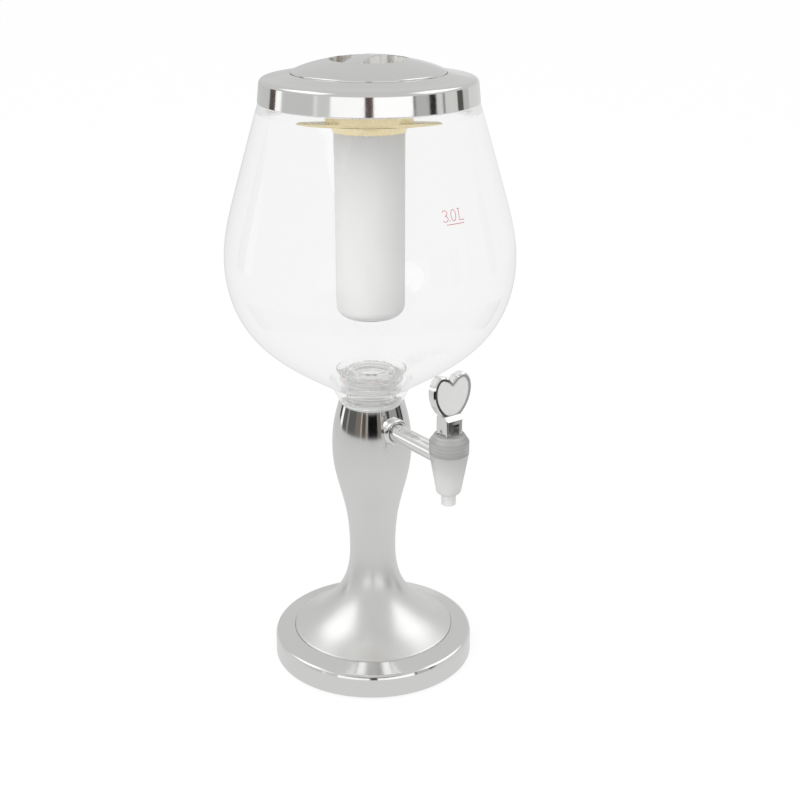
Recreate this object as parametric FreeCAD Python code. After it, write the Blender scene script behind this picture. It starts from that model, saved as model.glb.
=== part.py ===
import FreeCAD, Part
import math
import os

# Table-top beer tower: a goblet-shaped clear bowl with a lift-off lid and an
# ice tube, on a hollow plated stem with one lever tap and a weighted base.
# Millimetres. +Z up, the stem's axis is Z, the tap points to -Y, and Z = 0 is
# the surface that the feet stand on. An azimuth is counted from -Y towards +X.

V = FreeCAD.Vector
Z_AXIS = V(0, 0, 1)
TINY = 1e-6

# Base
FOOT_R = 10.0
FOOT_H = 2.0
FOOT_IN = 13.0
FOOT_COUNT = 4
BASE_R = 76.0
BASE_RIM_Z = 16.5
BASE_SEAM_IN = 15.0
BASE_SEAM_Z = 23.0
BASE_SHOULDER_IN = 2.4
BASE_SHOULDER_Z = 19.6
BASE_WALL = 2.0
PLATE_T = 2.5
PLATE_GAP = 0.3
PLATE_RING_IN = 3.5
PLATE_RING_T = 2.0
NUT_POCKET_R = 14.0
NUT_POCKET_H = 9.5
POCKET_WALL = 2.2
BALLAST_IN = 3.5
BALLAST_H = 8.0
BALLAST_GAP = 0.4
BASE_SCREW_IN = 7.4
BASE_SCREW_COUNT = 4
SCREW_R = 1.4
SCREW_HEAD_R = 2.8
SCREW_HEAD_H = 1.3
SCREW_LEN = 11.0
SCREW_GAP = 0.05
BOSS_R = 3.6

# Stem
STEM_WALL = 2.0
SEAM_GAP = 0.6
STEM_FLANGE_GAP = 0.3
STEM_FLANGE_T = 2.0
STEM_TOP_R = 23.9
STEM_TOP_Z = 208.5
STEM_LEDGE_H = 3.0
FLARE_EDGE_RISE = 0.6
WAIST_R = 17.4
BELLY_R = 29.4
ROD_R = 3.0
ROD_GAP = 0.1
ROD_NUT_AF = 10.0
ROD_NUT_H = 5.0
ROD_WASHER_R = 9.0
ROD_WASHER_T = 1.0

# Stem liner: the cup and threaded neck that carry the beer to the tap
LINER_R = 21.5
LINER_WALL = 2.5
LINER_FLANGE_T = 2.5
LINER_GAP = 0.2
LINER_H = 34.0
LINER_FLOOR_T = 3.0
LINER_BOSS_R = 7.0
LINER_BOSS_H = 14.0
NECK_R = 17.0
NECK_BORE_R = 13.5
NECK_H = 23.0
THREAD_DEPTH = 0.9
THREAD_PITCH = 3.0
THREAD_RISE = 2.5

# Bowl
BOWL_WALL = 2.6
FOOT_GASKET_T = 0.9
SKIRT_WALL = 2.2
SKIRT_MID_R = 27.3
SKIRT_MID_RISE = 8.1
SKIRT_TOP_R = 30.0
SKIRT_H = 12.6
BOWL_FLOOR_RISE = 13.1
BOWL_FLOOR_T = 2.8
BOWL_FLOOR_R = 29.0
BOWL_TOP_R = 75.4
BOWL_H = 215.5
BOWL_NECK_STEP = 3.2
BOWL_NECK_H = 10.0
BOWL_NECK_WALL = 2.4
NUT_WASHER_T = 1.2
NUT_GAP = 0.1
RING_NUT_R = 26.4
RING_NUT_LOW_R = 22.8
RING_NUT_WALL = 2.2

# Lid
LID_CLEAR = 0.3
LID_PROUD = 0.3
LID_LIP = 0.8
LID_BAND_TAPER = 1.3
LID_BAND_H = 13.2
LID_WALL = 2.0
LID_SHOULDER_IN = 4.2
LID_SHOULDER_RISE = 3.1
LID_SLOPE_SHARE = 0.637
CAP_R = 52.8
CAP_EDGE_H = 1.6
CAP_GAP = 0.3
CAP_SEAT_RISE = 1.7
CAP_SEAT_W = 6.0
CAP_H = 13.0
CAP_EDGE_IN = 0.8
CAP_EDGE_RISE = 1.4
CAP_WALL = 2.0
WELL_R = 27.0
WELL_DEPTH = 15.0
WELL_WALL = 1.8
GRIP_W = 11.0
GRIP_AZIMUTH = -63.0
LINER_DISC_T = 2.0
PLUG_GAP = 0.6
PLUG_WALL = 1.8
PLUG_DEPTH = 8.0
GASKET_PROUD = 1.2
GASKET_H = 3.0
CLAMP_RING_IN = 8.2
LID_SCREW_RING_R = 40.0
LID_SCREW_COUNT = 3

# Ice tube and its holder under the lid
HOLDER_AZIMUTH = -35.0
HOLDER_SCREW_COUNT = 3
HOLDER_R = 30.0
HOLDER_WALL = 2.5
HOLDER_PLATE_L = 97.0
HOLDER_PLATE_W = 46.0
HOLDER_PLATE_T = 2.0
HOLDER_PLATE_DROP = 8.7
HOLDER_CORNER_R = 5.0
FLANGE_LONG = 43.5
FLANGE_SHORT = 29.5
FLANGE_T = 2.0
TWIST_GAP = 0.3
TUBE_NECK_R = 21.5
TUBE_NECK_BORE_R = 19.0
LUG_OUT = 4.0
LUG_T = 2.5
LUG_DEG = 40.0
TUBE_R = 24.5
TUBE_WALL = 2.0
TUBE_REACH = 151.2
TUBE_BOTTOM_FILLET = 9.0
COLLAR_R = 28.6
COLLAR_H = 8.0
COLLAR_LIP = 0.7
SEAL_WIRE_R = 0.9
TUBE_SPIGOT_H = 9.0
SPIGOT_GAP = 0.1

# Tap
TAP_DROP = 16.5
TAP_REACH = 92.2
PIPE_R = 6.5
PIPE_BORE_R = 3.4
PIPE_FIT = 0.15
SHANK_R = 5.0
SHANK_GAP = 0.1
SHANK_INNER_Y = 9.5
LINER_PAD_R = 9.6
LINER_PAD_Y = 16.5
INNER_GASKET_R = 8.0
INNER_GASKET_T = 1.5
LOCK_NUT_AF = 16.0
LOCK_NUT_T = 4.0
SPACER_R = 8.5
SPACER_GAP = 0.15
ROSETTE_R = 10.0
ROSETTE_H = 3.4
ROSETTE_BOSS_R = 8.2
ROSETTE_BOSS_H = 4.4
ROSETTE_SEAT = 0.12
BODY_TOP_R = 13.7
BODY_TOP_RISE = 5.4
BODY_LOW_R = 8.4
BODY_LOW_DROP = 21.7
BODY_BOTTOM_DROP = 24.5
CHAMBER_R = 7.4
SEAT_TOP_DROP = 9.6
SEAT_H = 3.8
OUTLET_R = 4.4
BODY_NECK_R = 11.4
BODY_NECK_H = 5.6
SPIGOT_R = 4.5
SPIGOT_REACH = 4.2
SPOUT_R = 5.05
SPOUT_BORE_R = 3.4
SPOUT_H = 9.0
SPOUT_SPIGOT_H = 5.5
BONNET_R = 13.8
BONNET_TOP_R = 10.4
BONNET_SIDE_H = 8.9
BONNET_H = 13.9
BONNET_ROOF_T = 2.5
DIAPHRAGM_T = 1.4
VALVE_CUP_R = 6.4
VALVE_CUP_LOW_R = 3.6
VALVE_CUP_RISE = 3.6
VALVE_SEAT_GAP = 0.3
VALVE_ROD_R = 1.6
VALVE_ROD_GAP = 0.1
SPRING_R = 3.6
SPRING_WIRE_R = 0.45
SPRING_TURNS = 6
SPRING_GAP = 0.3

# Lever
LEVER_GAP = 0.3
POST_W = 14.0
POST_D = 12.4
POST_H = 14.2
POST_ROUND = 1.5
POST_TAPER = 2.2
POST_WALL = 1.45
POST_CAVITY_H = 9.0
POST_SLOT_W = 7.4
POST_SLOT_H = 8.1
PIN_R = 1.2
PIN_RISE = 2.9
PIN_RUN = 0.08
PIN_INSET = 0.3
EYE_W = 5.0
EYE_D = 3.2
EYE_TOP = 2.4
HEART_HALF_W = 16.0
HEART_H = 31.2
HEART_NOTCH = 4.4
HEART_RISE = 11.8
HEART_T = 7.2
HEART_CHAMFER = 0.9
FACE_INSET = 2.6
FACE_DEPTH = 0.9
INLAY_T = 0.6
INLAY_GAP = 0.1

# Radii and heights that follow from the sizes above
BASE_SEAM_R = BASE_R - BASE_SEAM_IN
BASE_SHOULDER_R = BASE_R - BASE_SHOULDER_IN
BASE_SCREW_RING_R = BASE_R - BASE_SCREW_IN
FOOT_RING_R = BASE_R - FOOT_IN
PLATE_RING_R = BASE_SEAM_R - PLATE_RING_IN
BALLAST_R = PLATE_RING_R - BALLAST_IN
BOWL_NECK_R = BOWL_TOP_R - BOWL_NECK_STEP
LID_R = BOWL_TOP_R + LID_PROUD
LID_BAND_TOP_R = LID_R - LID_BAND_TAPER
LID_SHOULDER_R = LID_BAND_TOP_R - LID_SHOULDER_IN
CLAMP_RING_R = LID_SHOULDER_R - CLAMP_RING_IN
NECK_TOP_Z = STEM_TOP_Z + NECK_H
THREAD_START_Z = STEM_TOP_Z + THREAD_RISE
SKIRT_MID_Z = STEM_TOP_Z + SKIRT_MID_RISE
SKIRT_TOP_Z = STEM_TOP_Z + SKIRT_H
BOWL_FLOOR_Z = STEM_TOP_Z + BOWL_FLOOR_RISE
BOWL_SHOULDER_Z = STEM_TOP_Z + BOWL_H
LID_BAND_TOP_Z = BOWL_SHOULDER_Z + LID_BAND_H
LID_SHOULDER_Z = LID_BAND_TOP_Z + LID_SHOULDER_RISE
CAP_SEAT_Z = LID_SHOULDER_Z + CAP_SEAT_RISE
TOP_Z = CAP_SEAT_Z + CAP_H
WELL_FLOOR_Z = TOP_Z - WELL_DEPTH
HOLDER_PLATE_Z = BOWL_SHOULDER_Z - HOLDER_PLATE_DROP
TUBE_BOTTOM_Z = BOWL_SHOULDER_Z - TUBE_REACH
TAP_Z = STEM_TOP_Z - TAP_DROP
BODY_TOP_Z = TAP_Z + BODY_TOP_RISE
BODY_LOW_Z = TAP_Z - BODY_LOW_DROP
BODY_BOTTOM_Z = TAP_Z - BODY_BOTTOM_DROP
SEAT_TOP_Z = TAP_Z - SEAT_TOP_DROP
SEAT_LOW_Z = SEAT_TOP_Z - SEAT_H
BODY_NECK_TOP_Z = BODY_TOP_Z + BODY_NECK_H
SPOUT_Z = BODY_BOTTOM_Z - SPOUT_H
BONNET_SIDE_TOP_Z = BODY_TOP_Z + BONNET_SIDE_H
BONNET_TOP_Z = BODY_TOP_Z + BONNET_H
VALVE_CUP_TOP_Z = SEAT_TOP_Z + VALVE_CUP_RISE

os.makedirs("parts", exist_ok=True)
nodes = []


def save(name, shape):
    """Write one node and note it."""
    shape.exportStep("parts/%s.step" % name)
    solids = shape.Solids
    volume = sum(s.Volume for s in solids)
    nodes.append(name)
    print("%-20s %2d solids %10.1f mm3 valid %s" % (name, len(solids), volume, shape.isValid()))


def compound(solids):
    return Part.makeCompound(solids)


def line(a, b):
    return Part.LineSegment(V(a[0], 0, a[1]), V(b[0], 0, b[1])).toShape()


def arc(a, m, b):
    """Arc through three (radius, height) points."""
    return Part.Arc(V(a[0], 0, a[1]), V(m[0], 0, m[1]), V(b[0], 0, b[1])).toShape()


def spline(points):
    """Smooth curve through (radius, height) points."""
    curve = Part.BSplineCurve()
    curve.interpolate([V(r, 0, z) for r, z in points])
    return curve.toShape()


def corner_arc(a, corner, b):
    """Arc that rounds a corner, from a to b: its middle lies 0.7 of the way to the corner."""
    lean = 0.414
    mid = ((a[0] + b[0]) / 2 * (1 - lean) + corner[0] * lean,
           (a[1] + b[1]) / 2 * (1 - lean) + corner[1] * lean)
    return arc(a, mid, b)


def turn(edges, x=0.0, y=0.0):
    """Solid of revolution of a closed (radius, height) outline about the upright line at x, y."""
    face = Part.Face(Part.Wire(Part.sortEdges(edges)[0]))
    solid = face.revolve(V(0, 0, 0), Z_AXIS, 360)
    if solid.Volume < 0:
        solid.reverse()
    solid.translate(V(x, y, 0))
    return solid


def turn_points(points, x=0.0, y=0.0):
    """Solid of revolution of a closed outline of straight runs."""
    edges = [line(points[i], points[(i + 1) % len(points)]) for i in range(len(points))
             if math.dist(points[i], points[(i + 1) % len(points)]) > TINY]
    return turn(edges, x, y)


def ring(r_in, r_out, z0, z1, x=0.0, y=0.0):
    return turn_points([(r_in, z0), (r_out, z0), (r_out, z1), (r_in, z1)], x, y)


def disc(r, z0, z1, x=0.0, y=0.0):
    return Part.makeCylinder(r, z1 - z0, V(x, y, z0))


def bar_y(r, y0, y1, z, x=0.0):
    """Round bar along Y from y0 to y1."""
    return Part.makeCylinder(r, abs(y1 - y0), V(x, min(y0, y1), z), V(0, 1, 0))


def bar_x(r, x0, x1, y, z):
    return Part.makeCylinder(r, x1 - x0, V(x0, y, z), V(1, 0, 0))


def hexagon_z(across_flats, z0, z1, x=0.0, y=0.0):
    r = across_flats / math.sqrt(3)
    pts = [V(x + r * math.cos(math.radians(60 * i)), y + r * math.sin(math.radians(60 * i)), z0)
           for i in range(6)]
    return Part.Face(Part.makePolygon(pts + [pts[0]])).extrude(V(0, 0, z1 - z0))


def block(x0, x1, y0, y1, z0, z1):
    return Part.makeBox(x1 - x0, y1 - y0, z1 - z0, V(x0, y0, z0))


def at_azimuth(shape, degrees):
    """Turn a shape made at azimuth 0 (towards -Y) to another azimuth."""
    turned = shape.copy()
    turned.rotate(V(0, 0, 0), Z_AXIS, degrees)
    return turned


def around(shape, count, first=0.0):
    """Copies of a shape made at azimuth 0, evenly spaced."""
    return [at_azimuth(shape, first + 360.0 * i / count) for i in range(count)]


def inset(points, distance):
    """Points moved inwards, square to the run between their neighbours."""
    moved = []
    for i, (r, z) in enumerate(points):
        before = points[max(i - 1, 0)]
        after = points[min(i + 1, len(points) - 1)]
        dr, dz = after[0] - before[0], after[1] - before[1]
        size = math.hypot(dr, dz)
        moved.append((r - distance * dz / size, z + distance * dr / size))
    return moved


# Base: plated ring, bottom plate, steel ballast, feet and screws

PLATE_TOP_Z = FOOT_H + PLATE_T
PLATE_R = BASE_R - BASE_WALL - PLATE_GAP
FLANGE_R = BASE_SCREW_RING_R - BOSS_R - STEM_FLANGE_GAP
SEAM_SLOPE = (BASE_SEAM_Z - BASE_SHOULDER_Z) / (BASE_SHOULDER_R - BASE_SEAM_R)


def ring_top_z(r):
    """Height of the base ring's sloping top at radius r."""
    return BASE_SHOULDER_Z + (BASE_SHOULDER_R - r) * SEAM_SLOPE


FLANGE_TOP_Z = ring_top_z(FLANGE_R) - BASE_WALL - LINER_GAP
FLANGE_LOW_Z = FLANGE_TOP_Z - STEM_FLANGE_T


def make_base_ring():
    outer_low = (BASE_R, FOOT_H)
    rim = (BASE_R - 0.3, BASE_RIM_Z)
    shoulder = (BASE_SHOULDER_R, BASE_SHOULDER_Z)
    seam = (BASE_SEAM_R, BASE_SEAM_Z)
    inner_rim = (BASE_R - BASE_WALL, BASE_RIM_Z - BASE_WALL)
    inner_top = (BASE_SHOULDER_R - BASE_WALL, ring_top_z(BASE_SHOULDER_R - BASE_WALL) - BASE_WALL)
    shell = turn([
        line(outer_low, rim),
        corner_arc(rim, (BASE_R - 0.3, BASE_SHOULDER_Z - 0.4), shoulder),
        line(shoulder, seam),
        line(seam, (BASE_SEAM_R, BASE_SEAM_Z - BASE_WALL)),
        line((BASE_SEAM_R, BASE_SEAM_Z - BASE_WALL), inner_top),
        line(inner_top, inner_rim),
        line(inner_rim, (BASE_R - BASE_WALL, FOOT_H)),
        line((BASE_R - BASE_WALL, FOOT_H), outer_low),
    ])
    boss_top = ring_top_z(BASE_SCREW_RING_R) - BASE_WALL / 2
    boss = disc(BOSS_R, PLATE_TOP_Z, boss_top, 0, -BASE_SCREW_RING_R)
    hole = disc(SCREW_R + SCREW_GAP, PLATE_TOP_Z - 1, PLATE_TOP_Z + SCREW_LEN, 0, -BASE_SCREW_RING_R)
    boss = boss.cut(hole)
    return shell.fuse(around(boss, BASE_SCREW_COUNT)).removeSplitter()


def make_base_plate():
    plate = disc(PLATE_R, FOOT_H, PLATE_TOP_Z)
    cup_top = FOOT_H + NUT_POCKET_H + POCKET_WALL
    cup = disc(NUT_POCKET_R + POCKET_WALL, FOOT_H, cup_top)
    stand = ring(PLATE_RING_R, PLATE_RING_R + PLATE_RING_T, PLATE_TOP_Z - 0.5, FLANGE_LOW_Z)
    plate = plate.fuse([cup, stand])
    cuts = [disc(NUT_POCKET_R, FOOT_H - 1, FOOT_H + NUT_POCKET_H),
            disc(ROD_R + ROD_GAP, FOOT_H, cup_top + 1)]
    head = disc(SCREW_HEAD_R + SCREW_GAP, FOOT_H - 1, FOOT_H + SCREW_HEAD_H, 0, -BASE_SCREW_RING_R)
    shaft = disc(SCREW_R + SCREW_GAP, FOOT_H - 1, PLATE_TOP_Z + 1, 0, -BASE_SCREW_RING_R)
    for tool in (head, shaft):
        cuts += around(tool, BASE_SCREW_COUNT)
    return plate.cut(cuts).removeSplitter()


def make_screw(head_z, x, y):
    """Pan-head screw pointing up, its head's lower face at head_z, with a cross recess."""
    dome = SCREW_HEAD_H / 4
    head = turn_points([(0, head_z), (SCREW_HEAD_R - dome, head_z), (SCREW_HEAD_R, head_z + dome),
                        (SCREW_HEAD_R, head_z + SCREW_HEAD_H), (0, head_z + SCREW_HEAD_H)])
    shaft = disc(SCREW_R, head_z + SCREW_HEAD_H, head_z + SCREW_LEN - SCREW_R)
    tip = Part.makeCone(SCREW_R, SCREW_R / 4, SCREW_R, V(0, 0, head_z + SCREW_LEN - SCREW_R))
    arm, depth = SCREW_HEAD_R * 0.6, SCREW_HEAD_H * 0.5
    slot_w = SCREW_HEAD_R * 0.12
    cross = block(-arm, arm, -slot_w, slot_w, head_z - 1, head_z + depth)
    cross = cross.fuse(block(-slot_w, slot_w, -arm, arm, head_z - 1, head_z + depth))
    screw = head.fuse([shaft, tip]).cut(cross)
    screw.translate(V(x, y, 0))
    return screw


def screw_down(seat_z, y):
    """The same screw pointing down, its head seated on seat_z."""
    screw = make_screw(0, 0, 0)
    screw.rotate(V(0, 0, 0), V(1, 0, 0), 180)
    screw.translate(V(0, y, seat_z + SCREW_HEAD_H))
    return screw


save("base_ring", make_base_ring())
save("base_plate", make_base_plate())
save("base_screws", compound(around(make_screw(FOOT_H, 0, -BASE_SCREW_RING_R), BASE_SCREW_COUNT)))
save("ballast_disc", ring(NUT_POCKET_R + POCKET_WALL + BALLAST_GAP, BALLAST_R,
                          PLATE_TOP_Z, PLATE_TOP_Z + BALLAST_H))

foot = turn_points([(0, 0), (FOOT_R - 0.5, 0), (FOOT_R, 0.5), (FOOT_R, FOOT_H), (0, FOOT_H)],
                   0, -FOOT_RING_R)
save("rubber_feet", compound(around(foot, FOOT_COUNT, 180.0 / FOOT_COUNT)))


# Stem: plated shell, tie rod and its fasteners

def stem_outline():
    """Outer radius of the stem at shares of its height, from the base seam to the top rim."""
    low = BASE_SEAM_Z + FLARE_EDGE_RISE
    shares = [(BASE_SEAM_R - SEAM_GAP, 0.0), (48.5, 0.0379), (37.3, 0.0887), (22.6, 0.1969),
              (WAIST_R + 0.5, 0.2942), (WAIST_R, 0.3916), (19.7, 0.5214), (24.4, 0.6295), (28.6, 0.7377),
              (BELLY_R, 0.8134), (28.2, 0.8999), (STEM_TOP_R, 1.0)]
    return [(r, low + share * (STEM_TOP_Z - low)) for r, share in shares]


def stem_radius(z):
    """Outer radius of the stem at a height, between the two outline points beside it."""
    points = stem_outline()
    below = [p for p in points if p[1] <= z][-1]
    above = [p for p in points if p[1] > z][0]
    return below[0] + (above[0] - below[0]) * (z - below[1]) / (above[1] - below[1])


def stem_solid(points):
    """The full stem shape, filled to its axis, for cutting a seat against it."""
    low, high = points[0], points[-1]
    return turn([spline(points), line(high, (0, high[1])), line((0, high[1]), (0, low[1])),
                 line((0, low[1]), low)])


OUTLINE = stem_outline()
LEDGE_Z = STEM_TOP_Z - LINER_FLANGE_T
LINER_FLANGE_R = STEM_TOP_R - 1.5


def make_stem_shell():
    edge = OUTLINE[0]
    inner = [p for p in inset(OUTLINE, STEM_WALL)][1:-1]
    lip_in = (edge[0] - STEM_WALL, edge[1] - FLARE_EDGE_RISE)
    ledge_low = LEDGE_Z - STEM_LEDGE_H
    inner_top = (inner[-1][0] - 1.1, ledge_low)
    inner = [lip_in] + inner + [inner_top]
    shell = turn([
        spline(OUTLINE),
        line(OUTLINE[-1], (LINER_FLANGE_R + LINER_GAP / 2, STEM_TOP_Z)),
        line((LINER_FLANGE_R + LINER_GAP / 2, STEM_TOP_Z), (LINER_FLANGE_R + LINER_GAP / 2, LEDGE_Z)),
        line((LINER_FLANGE_R + LINER_GAP / 2, LEDGE_Z), (LINER_R + LINER_GAP, LEDGE_Z)),
        line((LINER_R + LINER_GAP, LEDGE_Z), (LINER_R + LINER_GAP, ledge_low)),
        line((LINER_R + LINER_GAP, ledge_low), inner_top),
        spline(inner),
        line(lip_in, (lip_in[0], FLANGE_LOW_Z)),
        line((lip_in[0], FLANGE_LOW_Z), (FLANGE_R, FLANGE_LOW_Z)),
        line((FLANGE_R, FLANGE_LOW_Z), (FLANGE_R, FLANGE_TOP_Z)),
        line((FLANGE_R, FLANGE_TOP_Z), (edge[0], FLANGE_TOP_Z)),
        line((edge[0], FLANGE_TOP_Z), edge),
    ])
    return shell.cut(bar_y(SHANK_R + SHANK_GAP, 0, -2 * BELLY_R, TAP_Z))


LINER_LOW_Z = LEDGE_Z - LINER_H
ROD_TOP_Z = LINER_LOW_Z - 1.5
ROD_LOW_Z = FOOT_H + NUT_POCKET_H - ROD_WASHER_T - ROD_NUT_H - 0.6


def make_rod_nut():
    top = FOOT_H + NUT_POCKET_H - ROD_WASHER_T
    return hexagon_z(ROD_NUT_AF, top - ROD_NUT_H, top).cut(disc(ROD_R + ROD_GAP, 0, top + 1))


save("stem_shell", make_stem_shell())
save("tie_rod", disc(ROD_R, ROD_LOW_Z, ROD_TOP_Z))
save("rod_nut", make_rod_nut())
save("rod_washer", ring(ROD_R + ROD_GAP, ROD_WASHER_R, FOOT_H + NUT_POCKET_H - ROD_WASHER_T,
                        FOOT_H + NUT_POCKET_H))
save("centre_pad", disc(NUT_POCKET_R - ROD_GAP, 0, ROD_LOW_Z - 0.3))


# Stem liner: cup, side pad for the tap, flange and threaded neck

def thread_edges(r, z_from, z_to):
    """Rounded ridges, one per pitch, on the outside of a neck of radius r."""
    edges = []
    z = z_from
    while z + THREAD_PITCH <= z_to + TINY:
        edges.append(line((r, z), (r, z + THREAD_PITCH * 0.3)))
        edges.append(arc((r, z + THREAD_PITCH * 0.3), (r + THREAD_DEPTH, z + THREAD_PITCH * 0.65),
                         (r, z + THREAD_PITCH)))
        z += THREAD_PITCH
    edges.append(line((r, z), (r, z_to)))
    return [e for e in edges if e.Length > TINY]


def make_stem_liner():
    floor_top = LINER_LOW_Z + LINER_FLOOR_T
    roof = LEDGE_Z - LINER_WALL
    shell = [
        line((0, LINER_LOW_Z - LINER_BOSS_H), (LINER_BOSS_R, LINER_LOW_Z - LINER_BOSS_H)),
        line((LINER_BOSS_R, LINER_LOW_Z - LINER_BOSS_H), (LINER_BOSS_R, LINER_LOW_Z)),
        line((LINER_BOSS_R, LINER_LOW_Z), (LINER_R, LINER_LOW_Z)),
        line((LINER_R, LINER_LOW_Z), (LINER_R, LEDGE_Z)),
        line((LINER_R, LEDGE_Z), (LINER_FLANGE_R, LEDGE_Z)),
        line((LINER_FLANGE_R, LEDGE_Z), (LINER_FLANGE_R, STEM_TOP_Z)),
        line((LINER_FLANGE_R, STEM_TOP_Z), (NECK_R, STEM_TOP_Z)),
        line((NECK_R, STEM_TOP_Z), (NECK_R, THREAD_START_Z)),
    ]
    shell += thread_edges(NECK_R, THREAD_START_Z, NECK_TOP_Z)
    shell += [
        line((NECK_R, NECK_TOP_Z), (NECK_BORE_R, NECK_TOP_Z)),
        line((NECK_BORE_R, NECK_TOP_Z), (NECK_BORE_R, LEDGE_Z)),
        line((NECK_BORE_R, LEDGE_Z), (LINER_R - LINER_WALL, roof - LINER_WALL)),
        line((LINER_R - LINER_WALL, roof - LINER_WALL), (LINER_R - LINER_WALL, floor_top)),
        line((LINER_R - LINER_WALL, floor_top), (0, floor_top)),
        line((0, floor_top), (0, LINER_LOW_Z - LINER_BOSS_H)),
    ]
    cup = turn(shell)
    pad = bar_y(LINER_PAD_R, -LINER_PAD_Y, -LINER_R, TAP_Z).common(disc(LINER_R, LINER_LOW_Z, LEDGE_Z))
    cup = cup.fuse(pad)
    cup = cup.cut(bar_y(SHANK_R + SHANK_GAP, 0, -2 * LINER_R, TAP_Z))
    return cup.cut(disc(ROD_R + ROD_GAP, 0, ROD_TOP_Z + 0.3)).removeSplitter()


save("stem_liner", make_stem_liner())


# Bowl with its foot gasket, sealing washer and clear ring nut

SKIRT_LOW_Z = STEM_TOP_Z + FOOT_GASKET_T
FLOOR_TOP_Z = BOWL_FLOOR_Z + BOWL_FLOOR_T
HOLE_R = NECK_R + THREAD_DEPTH + NUT_GAP
BOWL_TOP_Z = BOWL_SHOULDER_Z + BOWL_NECK_H


def bowl_outline():
    """Outer radius of the bowl at shares of its height, from its foot to the shoulder under the lid."""
    shares = [(SKIRT_TOP_R, 0.0), (41.0, 0.034), (53.6, 0.0734), (67.9, 0.1237), (83.0, 0.1927),
              (95.6, 0.2903), (102.0, 0.4086), (101.6, 0.5367), (95.9, 0.6599), (88.6, 0.7831),
              (81.2, 0.9064), (BOWL_TOP_R, 1.0)]
    return [(r, SKIRT_TOP_Z + share * (BOWL_SHOULDER_Z - SKIRT_TOP_Z)) for r, share in shares]


def make_bowl():
    outer = bowl_outline()
    foot_top = outer[0]
    foot_low = (STEM_TOP_R, SKIRT_LOW_Z)
    inner = inset(outer, BOWL_WALL)[1:-1]
    inner = [(BOWL_FLOOR_R + 2.0, FLOOR_TOP_Z + 0.6)] + inner
    neck_in = BOWL_NECK_R - BOWL_NECK_WALL
    neck_round = BOWL_NECK_WALL / 3
    neck_round_z = BOWL_TOP_Z - neck_round
    inner_top = (BOWL_TOP_R - BOWL_WALL + 0.9, BOWL_SHOULDER_Z - BOWL_WALL - 1.0)
    inner += [inner_top]
    skirt_in = STEM_TOP_R - SKIRT_WALL
    skirt_top_in = foot_top[0] - SKIRT_WALL - 1.3
    return turn([
        line((skirt_in, SKIRT_LOW_Z), foot_low),
        spline([foot_low, (SKIRT_MID_R, SKIRT_MID_Z), foot_top]),
        spline(outer),
        line(outer[-1], (BOWL_NECK_R, BOWL_SHOULDER_Z)),
        line((BOWL_NECK_R, BOWL_SHOULDER_Z), (BOWL_NECK_R, neck_round_z)),
        arc((BOWL_NECK_R, neck_round_z), (BOWL_NECK_R - BOWL_NECK_WALL / 2, BOWL_TOP_Z),
            (neck_in, neck_round_z)),
        line((neck_in, neck_round_z), (neck_in, BOWL_SHOULDER_Z - BOWL_WALL)),
        line((neck_in, BOWL_SHOULDER_Z - BOWL_WALL), inner_top),
        spline(inner),
        arc(inner[0], (BOWL_FLOOR_R + 1.2, FLOOR_TOP_Z + 0.15), (BOWL_FLOOR_R, FLOOR_TOP_Z)),
        line((BOWL_FLOOR_R, FLOOR_TOP_Z), (HOLE_R, FLOOR_TOP_Z)),
        line((HOLE_R, FLOOR_TOP_Z), (HOLE_R, BOWL_FLOOR_Z)),
        line((HOLE_R, BOWL_FLOOR_Z), (skirt_top_in, BOWL_FLOOR_Z)),
        spline([(skirt_top_in, BOWL_FLOOR_Z), (SKIRT_MID_R - SKIRT_WALL - 0.4, SKIRT_MID_Z),
                (skirt_in, SKIRT_LOW_Z)]),
    ])


def make_ring_nut():
    low = FLOOR_TOP_Z + NUT_WASHER_T
    top = NECK_TOP_Z
    dish = low + RING_NUT_WALL
    return turn([
        line((HOLE_R, low), (RING_NUT_LOW_R, low)),
        spline([(RING_NUT_LOW_R, low), (RING_NUT_LOW_R + 1.6, (low + top) / 2), (RING_NUT_R, top)]),
        line((RING_NUT_R, top), (RING_NUT_R - RING_NUT_WALL * 0.6, top)),
        spline([(RING_NUT_R - RING_NUT_WALL * 0.6, top), (RING_NUT_LOW_R - 0.4, dish + 0.8),
                (RING_NUT_LOW_R - RING_NUT_WALL, dish)]),
        line((RING_NUT_LOW_R - RING_NUT_WALL, dish), (HOLE_R, dish)),
        line((HOLE_R, dish), (HOLE_R, low)),
    ])


save("bowl", make_bowl())
save("foot_gasket", ring(NECK_R + 0.6, STEM_TOP_R - 0.3, STEM_TOP_Z, SKIRT_LOW_Z))
save("bowl_washer", ring(HOLE_R, RING_NUT_LOW_R + 0.6, FLOOR_TOP_Z, FLOOR_TOP_Z + NUT_WASHER_T))
save("bowl_ring_nut", make_ring_nut())


# Lid: plated shell, raised cap with two finger wells, liner and gasket

LID_LOW_Z = BOWL_SHOULDER_Z + LID_CLEAR
LINER_DISC_Z = BOWL_TOP_Z + LID_CLEAR
LINER_DISC_TOP_Z = LINER_DISC_Z + LINER_DISC_T
PLUG_R = BOWL_NECK_R - BOWL_NECK_WALL - PLUG_GAP
SEAT_TOP_R = CAP_R + CAP_GAP
HOLDER_SCREW_RING_R = HOLDER_R - HOLDER_WALL - BOSS_R / 2


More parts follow.
